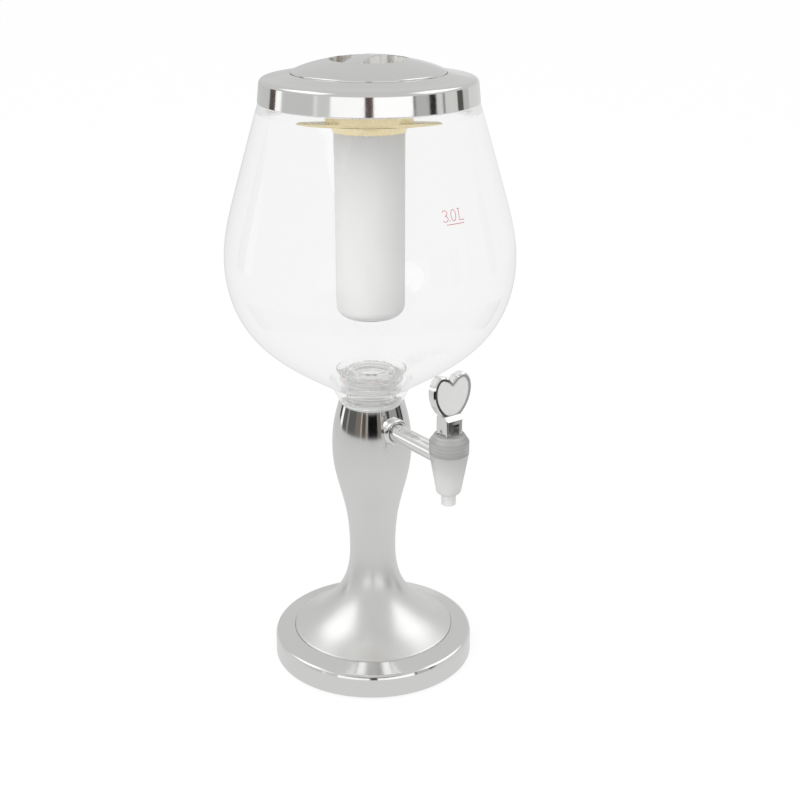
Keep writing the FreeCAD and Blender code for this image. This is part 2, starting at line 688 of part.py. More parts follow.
def make_lid_shell():
    band_low = (LID_R, LID_LOW_Z + LID_LIP)
    band_top = (LID_BAND_TOP_R, LID_BAND_TOP_Z)
    shoulder = (LID_SHOULDER_R, LID_SHOULDER_Z)
    rim = (SEAT_TOP_R, CAP_SEAT_Z + CAP_EDGE_H)
    slope_mid = (SEAT_TOP_R + (LID_SHOULDER_R - SEAT_TOP_R) * LID_SLOPE_SHARE,
                 LID_SHOULDER_Z + (rim[1] - LID_SHOULDER_Z) / 3)
    seat_in = CAP_R - CAP_SEAT_W
    inner_band = LID_R - LID_WALL
    under = CAP_SEAT_Z - LID_WALL
    return turn([
        corner_arc((LID_R - LID_LIP, LID_LOW_Z), (LID_R, LID_LOW_Z), band_low),
        line(band_low, band_top),
        corner_arc(band_top, (LID_BAND_TOP_R - 0.4, LID_SHOULDER_Z - 0.3), shoulder),
        spline([shoulder, slope_mid, rim]),
        line(rim, (SEAT_TOP_R, CAP_SEAT_Z)),
        line((SEAT_TOP_R, CAP_SEAT_Z), (seat_in, CAP_SEAT_Z)),
        line((seat_in, CAP_SEAT_Z), (seat_in, under)),
        line((seat_in, under), (CLAMP_RING_R - LID_WALL, under)),
        line((CLAMP_RING_R - LID_WALL, under), (CLAMP_RING_R - LID_WALL, LINER_DISC_TOP_Z)),
        line((CLAMP_RING_R - LID_WALL, LINER_DISC_TOP_Z), (CLAMP_RING_R, LINER_DISC_TOP_Z)),
        line((CLAMP_RING_R, LINER_DISC_TOP_Z), (CLAMP_RING_R, under - 0.4)),
        line((CLAMP_RING_R, under - 0.4), (LID_SHOULDER_R - 0.6, LID_SHOULDER_Z - LID_WALL)),
        line((LID_SHOULDER_R - 0.6, LID_SHOULDER_Z - LID_WALL),
             (LID_BAND_TOP_R - LID_WALL, LID_BAND_TOP_Z - 0.4)),
        line((LID_BAND_TOP_R - LID_WALL, LID_BAND_TOP_Z - 0.4), (inner_band, LID_LOW_Z)),
        line((inner_band, LID_LOW_Z), (LID_R - LID_LIP, LID_LOW_Z)),
    ])


def dome():
    """Outline points of the cap's dome, from its rim to its crown, as shares of its size."""
    edge_z = CAP_SEAT_Z + CAP_EDGE_H + CAP_EDGE_RISE
    shares = [(0.8333, 0.31), (0.606, 0.62), (0.341, 0.87), (0.0, 1.0)]
    return [(CAP_R - CAP_EDGE_IN, edge_z)] + [(CAP_R * out, edge_z + (TOP_Z - edge_z) * up)
                                              for out, up in shares]


def make_lid_cap():
    points = dome()
    low = WELL_FLOOR_Z - WELL_WALL
    solid = turn([
        line((0, low), (WELL_R + WELL_WALL, low)),
        line((WELL_R + WELL_WALL, low), (WELL_R + WELL_WALL, CAP_SEAT_Z)),
        line((WELL_R + WELL_WALL, CAP_SEAT_Z), (CAP_R, CAP_SEAT_Z)),
        line((CAP_R, CAP_SEAT_Z), (CAP_R, CAP_SEAT_Z + CAP_EDGE_H)),
        corner_arc((CAP_R, CAP_SEAT_Z + CAP_EDGE_H), (CAP_R, points[0][1]), points[0]),
        spline(points),
        line(points[-1], (0, low)),
    ])
    well_out = WELL_R + WELL_WALL
    slope = (points[3][1] - points[2][1]) / (points[2][0] - points[3][0])
    roof = [(CAP_R - CAP_SEAT_W + 1.0, CAP_SEAT_Z + 1.5), (points[1][0], points[1][1] - CAP_WALL - 0.4),
            (well_out, points[2][1] + (points[2][0] - well_out) * slope - CAP_WALL)]
    hollow = turn([
        line((WELL_R + WELL_WALL, CAP_SEAT_Z - 1), (roof[0][0], CAP_SEAT_Z - 1)),
        line((roof[0][0], CAP_SEAT_Z - 1), roof[0]),
        spline(roof),
        line(roof[-1], (WELL_R + WELL_WALL, CAP_SEAT_Z - 1)),
    ])
    boss = disc(BOSS_R, LINER_DISC_TOP_Z, points[1][1] - CAP_WALL / 3, 0, -LID_SCREW_RING_R)
    bosses = around(boss, LID_SCREW_COUNT)
    solid = solid.cut(hollow.cut(bosses))
    well = disc(WELL_R, WELL_FLOOR_Z, TOP_Z + 1)
    bar = block(-GRIP_W / 2, GRIP_W / 2, -WELL_R - 1, WELL_R + 1, WELL_FLOOR_Z - 1, TOP_Z + 2)
    well = well.cut(at_azimuth(bar, GRIP_AZIMUTH))
    hole = disc(SCREW_R + SCREW_GAP, LINER_DISC_TOP_Z - 1, LINER_DISC_Z + SCREW_LEN + 0.4, 0,
                -LID_SCREW_RING_R)
    return solid.fuse(bosses).cut([well] + around(hole, LID_SCREW_COUNT)).removeSplitter()


def make_lid_liner():
    gasket_r = PLUG_R - GASKET_PROUD
    low = LINER_DISC_Z - PLUG_DEPTH
    groove_low = low + 2.0
    flange_r = LID_BAND_TOP_R - LID_WALL - LID_CLEAR
    liner = turn_points([
        (0, LINER_DISC_Z), (PLUG_R - GASKET_PROUD - PLUG_WALL, LINER_DISC_Z),
        (PLUG_R - GASKET_PROUD - PLUG_WALL, low), (PLUG_R, low), (PLUG_R, groove_low),
        (gasket_r, groove_low), (gasket_r, groove_low + GASKET_H), (PLUG_R, groove_low + GASKET_H),
        (PLUG_R, LINER_DISC_Z), (flange_r, LINER_DISC_Z), (flange_r, LINER_DISC_TOP_Z),
        (0, LINER_DISC_TOP_Z)])
    head = disc(SCREW_HEAD_R + SCREW_GAP, LINER_DISC_Z - 1, LINER_DISC_Z + SCREW_HEAD_H, 0,
                -LID_SCREW_RING_R)
    shaft = disc(SCREW_R + SCREW_GAP, LINER_DISC_Z - 1, LINER_DISC_TOP_Z + 1, 0, -LID_SCREW_RING_R)
    holder_hole = disc(SCREW_R + SCREW_GAP, LINER_DISC_Z - 1, LINER_DISC_TOP_Z + 1, 0,
                       -HOLDER_SCREW_RING_R)
    holes = around(head, LID_SCREW_COUNT) + around(shaft, LID_SCREW_COUNT)
    return liner.cut(holes + around(holder_hole, HOLDER_SCREW_COUNT, HOLDER_AZIMUTH))


def make_lid_gasket():
    z0 = LINER_DISC_Z - PLUG_DEPTH + 2.0
    r0 = PLUG_R - GASKET_PROUD + 0.02
    r1 = BOWL_NECK_R - BOWL_NECK_WALL - LID_CLEAR
    mid = z0 + GASKET_H / 2
    return turn([line((r0, z0 + 0.02), (PLUG_R, z0 + 0.02)),
                 arc((PLUG_R, z0 + 0.02), (r1, mid), (PLUG_R, z0 + GASKET_H - 0.02)),
                 line((PLUG_R, z0 + GASKET_H - 0.02), (r0, z0 + GASKET_H - 0.02)),
                 line((r0, z0 + GASKET_H - 0.02), (r0, z0 + 0.02))])


save("lid_shell", make_lid_shell())
save("lid_cap", make_lid_cap())
save("lid_liner", make_lid_liner())
save("lid_gasket", make_lid_gasket())
save("lid_screws", compound(around(make_screw(LINER_DISC_Z, 0, -LID_SCREW_RING_R), LID_SCREW_COUNT)))


# Ice tube: holder fixed under the lid, twist-lock flange and frosted tube

PLATE_LOW_Z = HOLDER_PLATE_Z
PLATE_UP_Z = HOLDER_PLATE_Z + HOLDER_PLATE_T
FLANGE_UP_Z = PLATE_LOW_Z - TWIST_GAP
FLANGE_LOW_TUBE_Z = FLANGE_UP_Z - FLANGE_T
LUG_Z = PLATE_UP_Z + TWIST_GAP
PLUG_HOLE_R = TUBE_NECK_R + TWIST_GAP
LUG_TOP_Z = LUG_Z + LUG_T
SPIGOT_OUT_R = TUBE_R - TUBE_WALL - SPIGOT_GAP
SEAL_Z = FLANGE_LOW_TUBE_Z - TUBE_SPIGOT_H / 2
SEAL_FLOOR_R = SPIGOT_OUT_R - 2 * SEAL_WIRE_R


def sector(r_in, r_out, z0, z1, azimuth, span):
    """Part of a ring, centred on an azimuth."""
    face = Part.Face(Part.makePolygon([V(r_in, 0, z0), V(r_out, 0, z0), V(r_out, 0, z1), V(r_in, 0, z1),
                                       V(r_in, 0, z0)]))
    solid = face.revolve(V(0, 0, 0), Z_AXIS, span)
    solid.rotate(V(0, 0, 0), Z_AXIS, azimuth - 90 - span / 2)
    return solid


def make_holder():
    half_l, half_w = HOLDER_PLATE_L / 2, HOLDER_PLATE_W / 2
    plate = block(-half_l, half_l, -half_w, half_w, PLATE_LOW_Z, PLATE_UP_Z)
    upright = [e for e in plate.Edges if abs(e.Vertexes[0].Z - e.Vertexes[-1].Z) > HOLDER_PLATE_T / 2]
    plate = plate.makeFillet(HOLDER_CORNER_R, upright)
    hub = ring(HOLDER_R - HOLDER_WALL, HOLDER_R, PLATE_UP_Z - 0.5, LINER_DISC_Z)
    boss = disc(BOSS_R, LUG_TOP_Z + TWIST_GAP, LINER_DISC_Z, 0, -HOLDER_SCREW_RING_R)
    hole = disc(SCREW_R + SCREW_GAP, LINER_DISC_TOP_Z - SCREW_LEN + 1, LINER_DISC_Z + 1, 0,
                -HOLDER_SCREW_RING_R)
    plate = plate.fuse([hub] + around(boss, HOLDER_SCREW_COUNT))
    plate = plate.cut(around(hole, HOLDER_SCREW_COUNT))
    notch = [sector(TUBE_NECK_R - 1, TUBE_NECK_R + LUG_OUT + TWIST_GAP, PLATE_LOW_Z - 1, PLATE_UP_Z + 1,
                    a, LUG_DEG + 6) for a in (90, 270)]
    plate = plate.cut([disc(PLUG_HOLE_R, PLATE_LOW_Z - 1, PLATE_UP_Z + 1)] + notch)
    return at_azimuth(plate, HOLDER_AZIMUTH).removeSplitter()


def make_tube_flange():
    half_w = HOLDER_PLATE_W / 2
    front = block(-FLANGE_LONG, FLANGE_SHORT, -half_w, 0, FLANGE_LOW_TUBE_Z, FLANGE_UP_Z)
    back = block(-FLANGE_SHORT, FLANGE_LONG, 0, half_w, FLANGE_LOW_TUBE_Z, FLANGE_UP_Z)
    plate = front.fuse(back).removeSplitter()
    neck = disc(TUBE_NECK_R, FLANGE_UP_Z - 0.5, LUG_TOP_Z)
    lugs = [sector(TUBE_NECK_R - 1, TUBE_NECK_R + LUG_OUT, LUG_Z, LUG_TOP_Z, a, LUG_DEG)
            for a in (0, 180)]
    spigot_low = FLANGE_LOW_TUBE_Z - TUBE_SPIGOT_H
    spigot = disc(SPIGOT_OUT_R, spigot_low, FLANGE_LOW_TUBE_Z + 0.5)
    groove = ring(SEAL_FLOOR_R, SPIGOT_OUT_R + 1, SEAL_Z - SEAL_WIRE_R - 0.1, SEAL_Z + SEAL_WIRE_R + 0.1)
    plate = plate.fuse([neck, spigot.cut(groove)] + lugs)
    plate = plate.cut(disc(TUBE_NECK_BORE_R, spigot_low - 1, LUG_TOP_Z + 1))
    return at_azimuth(plate, HOLDER_AZIMUTH).removeSplitter()


def make_collar():
    top = FLANGE_LOW_TUBE_Z
    low = top - COLLAR_H
    r_in = TUBE_R + SPIGOT_GAP
    return turn([
        line((r_in, low), (r_in + COLLAR_LIP, low)),
        spline([(r_in + COLLAR_LIP, low), (r_in + 1.6, top - COLLAR_H / 2), (COLLAR_R, top - 1.2)]),
        line((COLLAR_R, top - 1.2), (COLLAR_R, top)),
        line((COLLAR_R, top), (r_in, top)),
        line((r_in, top), (r_in, low)),
    ])


def make_ice_tube():
    top = FLANGE_LOW_TUBE_Z
    low = TUBE_BOTTOM_Z
    fil = TUBE_BOTTOM_FILLET
    r_in = TUBE_R - TUBE_WALL
    bend = fil * (1 - math.sqrt(0.5))
    inner_fil = fil - TUBE_WALL
    inner_bend = inner_fil * (1 - math.sqrt(0.5))
    floor = low + TUBE_WALL
    return turn([
        line((0, low), (TUBE_R - fil, low)),
        arc((TUBE_R - fil, low), (TUBE_R - bend, low + bend), (TUBE_R, low + fil)),
        line((TUBE_R, low + fil), (TUBE_R, top)),
        line((TUBE_R, top), (r_in, top)),
        line((r_in, top), (r_in, floor + inner_fil)),
        arc((r_in, floor + inner_fil), (r_in - inner_bend, floor + inner_bend), (r_in - inner_fil, floor)),
        line((r_in - inner_fil, floor), (0, floor)),
        line((0, floor), (0, low)),
    ])


save("tube_holder", make_holder())
save("tube_flange", make_tube_flange())
save("ice_tube", make_ice_tube())
save("tube_collar", make_collar())
save("tube_seal", Part.makeTorus(SEAL_FLOOR_R + SEAL_WIRE_R + 0.02, SEAL_WIRE_R, V(0, 0, SEAL_Z)))
save("holder_screws", compound(around(screw_down(LINER_DISC_TOP_Z, -HOLDER_SCREW_RING_R),
                                      HOLDER_SCREW_COUNT, HOLDER_AZIMUTH)))


# Tap shank through the stem wall: pipe, rosette, spacer, gasket and nut

STEM_FILLED = stem_solid(OUTLINE)
FACE_Y = stem_radius(TAP_Z)
TAP_Y = -TAP_REACH
PAD_FACE_Y = LINER_PAD_Y
GASKET_Y = PAD_FACE_Y - INNER_GASKET_T
NUT_Y = GASKET_Y - LOCK_NUT_T


def on_tap_axis(solid):
    """Stand an upright turned solid on the shank's axis, its Z becoming the way outwards."""
    laid = solid.copy()
    laid.rotate(V(0, 0, 0), V(1, 0, 0), 90)
    laid.translate(V(0, 0, TAP_Z))
    return laid


def make_rosette():
    foot = FACE_Y - 3.0
    top = FACE_Y + ROSETTE_H
    groove_r = ROSETTE_BOSS_R + 0.5
    solid = turn([
        line((PIPE_R + SHANK_GAP, foot), (ROSETTE_R, foot)),
        line((ROSETTE_R, foot), (ROSETTE_R, FACE_Y + 0.8)),
        corner_arc((ROSETTE_R, FACE_Y + 0.8), (ROSETTE_R, top), (groove_r + 0.1, top)),
        line((groove_r + 0.1, top), (groove_r, FACE_Y + 1.6)),
        line((groove_r, FACE_Y + 1.6), (ROSETTE_BOSS_R, FACE_Y + 1.6)),
        line((ROSETTE_BOSS_R, FACE_Y + 1.6), (ROSETTE_BOSS_R, FACE_Y + ROSETTE_BOSS_H - 0.8)),
        corner_arc((ROSETTE_BOSS_R, FACE_Y + ROSETTE_BOSS_H - 0.8),
                   (ROSETTE_BOSS_R, FACE_Y + ROSETTE_BOSS_H),
                   (ROSETTE_BOSS_R - 0.8, FACE_Y + ROSETTE_BOSS_H)),
        line((ROSETTE_BOSS_R - 0.8, FACE_Y + ROSETTE_BOSS_H),
             (PIPE_R + SHANK_GAP, FACE_Y + ROSETTE_BOSS_H)),
        line((PIPE_R + SHANK_GAP, FACE_Y + ROSETTE_BOSS_H), (PIPE_R + SHANK_GAP, foot)),
    ])
    seat = stem_solid([(r + ROSETTE_SEAT, z) for r, z in OUTLINE])
    return on_tap_axis(solid).cut(seat)


def body_envelope(extra):
    """Filled outside of the tap's body and bonnet, grown by extra."""
    return turn_points([(0, BODY_BOTTOM_Z), (BODY_LOW_R + extra, BODY_BOTTOM_Z),
                        (BODY_LOW_R + extra, BODY_LOW_Z), (BODY_TOP_R + extra, BODY_TOP_Z),
                        (BONNET_R + extra, BODY_TOP_Z), (BONNET_R + extra, BONNET_SIDE_TOP_Z),
                        (BONNET_TOP_R + extra, BONNET_TOP_Z), (0, BONNET_TOP_Z)], 0, TAP_Y)


def make_shank():
    pipe = bar_y(PIPE_R, -FACE_Y, TAP_Y, TAP_Z).cut(STEM_FILLED)
    grown = stem_solid([(r + ROSETTE_SEAT, z) for r, z in OUTLINE])
    pipe = pipe.cut([grown, body_envelope(PIPE_FIT)])
    inner = bar_y(SHANK_R, -SHANK_INNER_Y, -FACE_Y - 2, TAP_Z)
    outer = bar_y(SPIGOT_R, TAP_Y + BODY_TOP_R + 1, TAP_Y + BODY_TOP_R - 1 - SPIGOT_REACH, TAP_Z)
    shank = pipe.fuse([inner, outer])
    return shank.cut(bar_y(PIPE_BORE_R, 0, TAP_Y, TAP_Z)).removeSplitter()


def make_spacer():
    sleeve = bar_y(SPACER_R, -LINER_R + 6, -FACE_Y, TAP_Z)
    wall = stem_solid(inset(OUTLINE, STEM_WALL + SPACER_GAP))
    sleeve = sleeve.common(wall).cut(disc(LINER_R + SPACER_GAP, 0, TOP_Z))
    return sleeve.cut(bar_y(SHANK_R + SHANK_GAP, 0, TAP_Y, TAP_Z))


def make_lock_nut():
    nut = hexagon_z(LOCK_NUT_AF, NUT_Y, GASKET_Y).cut(disc(SHANK_R + SHANK_GAP / 2, 0, PAD_FACE_Y))
    return on_tap_axis(nut)


save("tap_rosette", make_rosette())
save("tap_shank", make_shank())
save("shank_spacer", make_spacer())
save("shank_gasket", on_tap_axis(ring(SHANK_R + SHANK_GAP / 2, INNER_GASKET_R, GASKET_Y, PAD_FACE_Y)))
save("shank_nut", make_lock_nut())


# Tap: body, spout, bonnet, diaphragm, valve cup, rod and spring

def make_tap_body():
    bottom_round = (BODY_LOW_R - 2.4, BODY_BOTTOM_Z)
    body = turn([
        line((OUTLET_R, BODY_BOTTOM_Z), bottom_round),
        corner_arc(bottom_round, (BODY_LOW_R - 0.3, BODY_BOTTOM_Z + 0.2), (BODY_LOW_R, BODY_LOW_Z)),
        line((BODY_LOW_R, BODY_LOW_Z), (BODY_TOP_R, BODY_TOP_Z)),
        line((BODY_TOP_R, BODY_TOP_Z), (BODY_NECK_R, BODY_TOP_Z)),
        line((BODY_NECK_R, BODY_TOP_Z), (BODY_NECK_R, BODY_NECK_TOP_Z)),
        line((BODY_NECK_R, BODY_NECK_TOP_Z), (CHAMBER_R, BODY_NECK_TOP_Z)),
        line((CHAMBER_R, BODY_NECK_TOP_Z), (CHAMBER_R, SEAT_TOP_Z)),
        line((CHAMBER_R, SEAT_TOP_Z), (OUTLET_R, SEAT_LOW_Z)),
        line((OUTLET_R, SEAT_LOW_Z), (OUTLET_R, BODY_BOTTOM_Z)),
    ], 0, TAP_Y)
    inlet = bar_y(SPIGOT_R + SHANK_GAP, TAP_Y, -FACE_Y, TAP_Z)
    stop = TAP_Y + BODY_TOP_R - 1 - SPIGOT_REACH - SHANK_GAP
    inlet = inlet.cut(block(-50, 50, TAP_Y - 50, stop, 0, TOP_Z))
    return body.cut([inlet, bar_y(PIPE_BORE_R, TAP_Y, -FACE_Y, TAP_Z)])


def make_spout():
    low, top = SPOUT_Z, BODY_BOTTOM_Z - 0.02
    edge = 1.0
    return turn([
        line((SPOUT_BORE_R, low), (SPOUT_R - edge, low)),
        corner_arc((SPOUT_R - edge, low), (SPOUT_R, low), (SPOUT_R, low + edge)),
        line((SPOUT_R, low + edge), (SPOUT_R, top)),
        line((SPOUT_R, top), (OUTLET_R - SHANK_GAP / 2, top)),
        line((OUTLET_R - SHANK_GAP / 2, top), (OUTLET_R - SHANK_GAP / 2, top + SPOUT_SPIGOT_H)),
        line((OUTLET_R - SHANK_GAP / 2, top + SPOUT_SPIGOT_H), (SPOUT_BORE_R, top + SPOUT_SPIGOT_H)),
        line((SPOUT_BORE_R, top + SPOUT_SPIGOT_H), (SPOUT_BORE_R, low)),
    ], 0, TAP_Y)


DIAPHRAGM_Z = BODY_NECK_TOP_Z
DIAPHRAGM_TOP_Z = DIAPHRAGM_Z + DIAPHRAGM_T
ROD_HOLE_R = VALVE_ROD_R + VALVE_ROD_GAP


def make_bonnet():
    skirt_in = BODY_NECK_R + SHANK_GAP
    roof = BONNET_TOP_Z - BONNET_ROOF_T
    cavity_r = CHAMBER_R
    low = BODY_TOP_Z + 0.02
    step = 0.4
    return turn_points([
        (skirt_in, low), (BONNET_R - step, low), (BONNET_R, low + step),
        (BONNET_R, BONNET_SIDE_TOP_Z), (BONNET_TOP_R, BONNET_TOP_Z), (ROD_HOLE_R, BONNET_TOP_Z),
        (ROD_HOLE_R, roof), (cavity_r, roof), (cavity_r, DIAPHRAGM_TOP_Z), (skirt_in, DIAPHRAGM_TOP_Z)],
        0, TAP_Y)


PIN_Z = BONNET_TOP_Z + LEVER_GAP + PIN_RISE
CUP_LOW_Z = SEAT_LOW_Z + VALVE_SEAT_GAP * 1.6


def make_valve_cup():
    slope = (SEAT_TOP_Z - SEAT_LOW_Z) / (CHAMBER_R - OUTLET_R)
    cone_top = CUP_LOW_Z + (VALVE_CUP_R - VALVE_CUP_LOW_R) * slope
    cup = turn_points([(0, CUP_LOW_Z), (VALVE_CUP_LOW_R, CUP_LOW_Z), (VALVE_CUP_R, cone_top),
                       (VALVE_CUP_R, VALVE_CUP_TOP_Z), (0, VALVE_CUP_TOP_Z)], 0, TAP_Y)
    return cup.cut(disc(VALVE_ROD_R + 0.02, CUP_LOW_Z + 1.5, TOP_Z, 0, TAP_Y))


def make_valve_rod():
    shaft = disc(VALVE_ROD_R, CUP_LOW_Z + 1.5, PIN_Z, 0, TAP_Y)
    eye = block(-EYE_W / 2, EYE_W / 2, TAP_Y - EYE_D / 2, TAP_Y + EYE_D / 2,
                BONNET_TOP_Z + LEVER_GAP, PIN_Z + EYE_TOP)
    rod = shaft.fuse(eye).cut(bar_x(PIN_R + 0.02, -EYE_W, EYE_W, TAP_Y, PIN_Z))
    return rod.removeSplitter()


def make_spring():
    low = VALVE_CUP_TOP_Z + SPRING_WIRE_R + SPRING_GAP
    high = DIAPHRAGM_Z - SPRING_WIRE_R - SPRING_GAP
    pitch = (high - low) / SPRING_TURNS
    path = Part.makeHelix(pitch, high - low, SPRING_R)
    wire = Part.Wire(path.Edges)
    angle = math.atan2(pitch, 2 * math.pi * SPRING_R)
    profile = Part.Wire(Part.makeCircle(SPRING_WIRE_R, V(SPRING_R, 0, 0),
                                        V(0, math.cos(angle), math.sin(angle))))
    coil = wire.makePipeShell([profile], True, True)
    coil.translate(V(0, TAP_Y, low))
    return coil


save("tap_body", make_tap_body())
save("tap_spout", make_spout())
save("tap_bonnet", make_bonnet())
save("tap_diaphragm", ring(VALVE_ROD_R + VALVE_ROD_GAP, BODY_NECK_R, DIAPHRAGM_Z, DIAPHRAGM_TOP_Z,
                           0, TAP_Y))
save("valve_cup", make_valve_cup())
save("valve_rod", make_valve_rod())
save("valve_spring", make_spring())


# Lever: square post with its pin, heart-shaped grip and two face inlays

POST_LOW_Z = BONNET_TOP_Z + LEVER_GAP
POST_TOP_Z = POST_LOW_Z + POST_H


HEART_LOW_Z = POST_LOW_Z + HEART_RISE


def heart_points(inset_by=0.0):
    """Right half of the heart's outline, from its foot to the notch, as (x, z)."""
    w, h = HEART_HALF_W, HEART_H
    low, top = HEART_LOW_Z, HEART_LOW_Z + HEART_H
    half = [(0.0, low), (0.34 * w, low + 0.03 * h), (0.69 * w, low + 0.19 * h), (0.9 * w, low + 0.38 * h),
            (w, low + 0.62 * h), (0.94 * w, low + 0.82 * h), (0.77 * w, low + 0.95 * h), (0.53 * w, top),
            (0.27 * w, top - 0.3 * HEART_NOTCH), (0.0, top - HEART_NOTCH)]
    if inset_by == 0.0:
        return half
    moved = inset(half, inset_by)
    return [(0.0, low + inset_by)] + moved[1:-1] + [(0.0, half[-1][1] - 1.3 * inset_by)]


def heart_wire(inset_by, y):
    """The heart's closed outline in the plane at y: a right and a left smooth half."""
    right = heart_points(inset_by)

    def half(side):
        curve = Part.BSplineCurve()
        curve.interpolate([V(side * x, y, z) for x, z in right], InitialTangent=V(side, 0, 0),
                          FinalTangent=V(-side, 0, -0.9))
        return curve.toShape()

    return Part.Wire(Part.sortEdges([half(1), half(-1)])[0])


def heart_slab(inset_by, y0, y1):
    """Heart outline extruded along Y."""
    return Part.Face(heart_wire(inset_by, y0)).extrude(V(0, y1 - y0, 0))


def heart_bevel(y_full, y_face):
    """Slab that narrows by the chamfer from the full outline to the flat face."""
    solid = Part.makeLoft([heart_wire(0.0, y_full), heart_wire(HEART_CHAMFER, y_face)], True, True)
    if solid.Volume < 0:
        solid.reverse()
    return solid


def make_post():
    half_w, half_d = POST_W / 2, POST_D / 2
    post = block(-half_w, half_w, TAP_Y - half_d, TAP_Y + half_d, POST_LOW_Z, POST_TOP_Z)
    upright = [e for e in post.Edges if abs(e.Vertexes[0].Z - e.Vertexes[-1].Z) > POST_H / 2]
    post = post.makeFillet(POST_ROUND, upright)
    rise = POST_TAPER * 1.5
    for side in (-1, 1):
        y_out = TAP_Y + side * half_d
        wedge = Part.Face(Part.makePolygon([
            V(-half_w - 1, y_out + side, POST_TOP_Z - rise), V(-half_w - 1, y_out, POST_TOP_Z - rise),
            V(-half_w - 1, y_out - side * POST_TAPER, POST_TOP_Z + 0.01),
            V(-half_w - 1, y_out + side, POST_TOP_Z + 0.01),
            V(-half_w - 1, y_out + side, POST_TOP_Z - rise)])).extrude(V(POST_W + 2, 0, 0))
        post = post.cut(wedge)
    return post


def make_lever():
    half_w, half_d = POST_W / 2, POST_D / 2
    y0, y1 = TAP_Y - HEART_T / 2, TAP_Y + HEART_T / 2
    heart = heart_slab(0.0, y0 + HEART_CHAMFER, y1 - HEART_CHAMFER)
    heart = heart.fuse([heart_bevel(y0 + HEART_CHAMFER, y0), heart_bevel(y1 - HEART_CHAMFER, y1)])
    for a, b in ((y0 - 1, y0 + FACE_DEPTH), (y1 - FACE_DEPTH, y1 + 1)):
        heart = heart.cut(heart_slab(FACE_INSET, a, b))
    post = make_post()
    lever = post.fuse(heart)
    cavity = block(-half_w + POST_WALL * 1.4, half_w - POST_WALL * 1.4, TAP_Y - half_d + POST_WALL,
                   TAP_Y + half_d - POST_WALL, POST_LOW_Z - 1, POST_LOW_Z + POST_CAVITY_H)
    slot = block(-POST_SLOT_W / 2, POST_SLOT_W / 2, TAP_Y - half_d - 1, TAP_Y, POST_LOW_Z - 1,
                 POST_LOW_Z + POST_SLOT_H)
    lever = lever.cut([cavity, slot, bar_x(PIN_R + PIN_RUN, -half_w - 1, half_w + 1, TAP_Y, PIN_Z)])
    return lever.removeSplitter()


def make_inlays():
    y0, y1 = TAP_Y - HEART_T / 2, TAP_Y + HEART_T / 2
    inner = FACE_INSET + INLAY_GAP
    return compound([heart_slab(inner, y0 + FACE_DEPTH - INLAY_T, y0 + FACE_DEPTH),
                     heart_slab(inner, y1 - FACE_DEPTH, y1 - FACE_DEPTH + INLAY_T)])


save("lever", make_lever())
save("lever_inlays", make_inlays())
save("lever_pin", bar_x(PIN_R, -POST_W / 2 + PIN_INSET, POST_W / 2 - PIN_INSET, TAP_Y, PIN_Z))

print("%d nodes" % len(nodes))
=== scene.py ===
import math

import bmesh
import bpy
import numpy as np
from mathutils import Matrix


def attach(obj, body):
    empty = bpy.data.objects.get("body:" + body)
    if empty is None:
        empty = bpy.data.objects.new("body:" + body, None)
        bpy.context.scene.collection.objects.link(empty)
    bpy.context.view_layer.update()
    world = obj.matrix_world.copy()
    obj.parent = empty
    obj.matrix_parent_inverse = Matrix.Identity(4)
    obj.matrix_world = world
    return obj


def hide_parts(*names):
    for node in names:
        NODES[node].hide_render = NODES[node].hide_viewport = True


# The looks of a table-top beer tower: a clear goblet bowl with a plated lid and
# a frosted ice tube, on a plated stem with one heart-handled tap. Metres, in
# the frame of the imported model: +Z up along the stem, the tap points to -Y.

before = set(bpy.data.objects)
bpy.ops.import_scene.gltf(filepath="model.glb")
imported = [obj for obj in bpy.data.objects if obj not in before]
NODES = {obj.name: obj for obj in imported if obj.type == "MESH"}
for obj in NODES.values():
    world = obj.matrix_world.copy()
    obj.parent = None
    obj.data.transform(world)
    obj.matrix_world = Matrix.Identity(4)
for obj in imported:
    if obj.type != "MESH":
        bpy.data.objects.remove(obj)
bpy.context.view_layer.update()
MM = 0.001
DEG = math.pi / 180

# Camera of the photograph, and the angle round the object at which it stands
CAMERA_AT = (-530.6 * MM, -757.8 * MM, 559.7 * MM)
CAMERA_PITCH = 20.84 * DEG
CAMERA_HEADING = 36.295 * DEG
CAMERA_LENS = 60.64
CAMERA_SENSOR = 36.0
CAMERA_FAR = 60.0
VIEW_AZIMUTH = -35.0 * DEG

# Levels of light, where 1 is white. A fill is the share of plain white in the floor, for the camera
# or through clear pieces
AMBIENT = 0.74
FLOOR_COLOUR = 0.97
FLOOR_FILL = 0.85
FLOOR_WHITE = 1.04
GLASS_FLOOR_FILL = 0.97
THROUGH_CLEAR = 0.93
STUDIO_GREY = 0.66
FLOOR_GREY = 0.74
SOFTBOX_WHITE = 1.45

# Soft boxes and low band of the surround: radians either side of the view, heights as sines
SOFTBOX_LEFT = (-2.1, -0.95)
SOFTBOX_RIGHT = (1.12, 2.25)
SOFTBOX_HEIGHT = (0.50, 0.86)
SOFTBOX_SIDE_SOFT = 0.10
SOFTBOX_TOP_SOFT = 0.05
LOW_BAND = (-0.2, 0.13)
LOW_BAND_SOFT = 0.02

# Cards that only reflections see, on arcs of one radius: metres, and degrees either side of the view
CARD_R = 0.2
CARD_POINTS = 120
CARD_SQUEEZE = 0.94
CARD_REACH = 0.2
CARD_REACH_SOFT = 0.005
STEM_CARD = {"low": 0.160, "high": 0.240, "start": -101, "end": 114, "soft": 0.005}
SHOULDER_CARD = {"low": 0.030, "high": 0.040, "start": -100, "end": 112, "soft": 0.001}
SHOULDER_STRIPS = [(-180, 0.05, 0.05, 0.05)]

